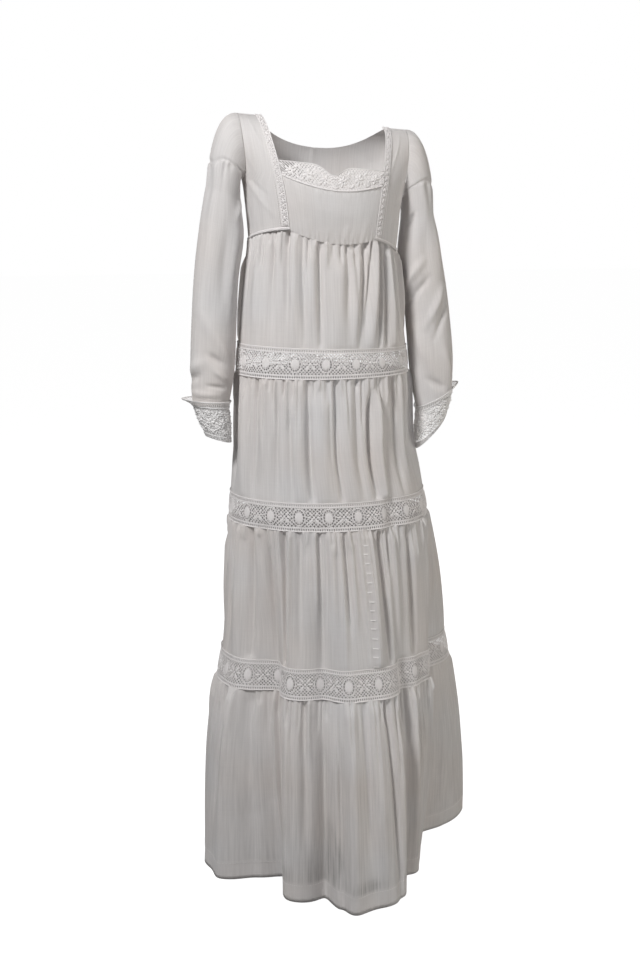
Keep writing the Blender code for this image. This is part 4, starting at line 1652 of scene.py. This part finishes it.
def stitch_row(bm, path, pitch=STITCH_PITCH, length=STITCH_LENGTH):
    """Stitches along a path of points, evenly apart."""
    spare = 0.0
    for before, after in zip(path, path[1:]):
        span = hypot(after[0] - before[0], after[1] - before[1])
        while spare < span:
            t0, t1 = spare / span, min((spare + length) / span, 1.0)
            ends = [
                (mix(before[0], after[0], t), mix(before[1], after[1], t)) for t in (t0, t1)
            ]
            if t1 > t0:
                thread(bm, ends, STITCH_THREAD, STITCH_HEIGHT, STITCH_LIFT)
            spare += pitch
        spare -= span


hem_round = round_skirt(DRESS_LENGTH - HEM_DEPTH, 0.0)[0]
turned_up = HEM_DEPTH / TIER_4_DOWN
hem_top = TIER_4_DOWN * (1 - (1 - turned_up) / (1 + turned_up))
bm = bmesh.new()
stitch_row(bm, [(0, hem_top), (hem_round, hem_top)])
lay_lace(bm, tier_surfaces[4], hem_round, TIER_4_DOWN, lift=0.0004)
piece("hem_stitches", bm, cotton, "trim")

bm = bmesh.new()
strip_round = round_skirt(mix(BAND_TOPS[1], BAND_TOPS[2], 0.5), 0.0)[0]
place = strip_round * STRIP_ANGLE / 360
chance = random.Random(3)
for n in range(STRIP_BARS):
    y = FIRST_BAR + n * STRIP_PITCH + chance.uniform(-0.001, 0.001)
    x = place + chance.uniform(-0.001, 0.0015)
    ends = [(x - 0.0035, y), (x + 0.0045, y + chance.uniform(-0.0005, 0.0005))]
    thread(bm, ends, BAR_WIDTH, BAR_HEIGHT)
lay_lace(bm, tier_surfaces[3], strip_round, TIER_3_DOWN, lift=0.0006)
piece("strip_bars", bm, cotton, "trim")

# Where the rows lie: the first is a share of the sleeve's length, and the others are in
# metres on the flat panel
BELOW_HEAD_SEAM = 0.007
FRONT_WIDTH = 0.1
FRONT_HEIGHT = 0.25
FROM_PRINCESS_SEAM = 0.014
SHOULDER_ROW = 0.246
BACK_WIDTH = 0.175
BACK_HEIGHT = 0.24
FROM_CENTRE_BACK = 0.003

for name, side in SIDES.items():
    path = [
        (turn * SLEEVE_AROUND, (head_seam(round(abs(turn), 4)) + BELOW_HEAD_SEAM) * SLEEVE_DOWN)
        for turn in (n / 100 for n in range(-36, 37))
    ]
    bm = bmesh.new()
    stitch_row(bm, path)
    sleeve = sleeve_surfaces[name]
    lay_lace(bm, sleeve, SLEEVE_AROUND, SLEEVE_DOWN, lift=0.0004, flip=side < 0)
    piece("sleeve_head_stitches_" + name, bm, cotton, "trim")

    bm = bmesh.new()
    inner = FROM_PRINCESS_SEAM if side > 0 else FRONT_WIDTH - FROM_PRINCESS_SEAM
    stitch_row(bm, [(inner, 0.008), (inner, SHOULDER_ROW)])
    stitch_row(bm, [(0.003, SHOULDER_ROW), (FRONT_WIDTH - 0.003, SHOULDER_ROW)])
    lay_lace(bm, side_front(side), FRONT_WIDTH, FRONT_HEIGHT, lift=0.0018)
    piece("front_stitches_" + name, bm, cotton, "trim")

    bm = bmesh.new()
    inner = BACK_WIDTH - FROM_CENTRE_BACK if side > 0 else FROM_CENTRE_BACK
    stitch_row(bm, [(inner, 0.004), (inner, BACK_HEIGHT - 0.004)])
    lay_lace(bm, back_half(side), BACK_WIDTH, BACK_HEIGHT, lift=0.0014)
    piece("back_stitches_" + name, bm, cotton, "trim")
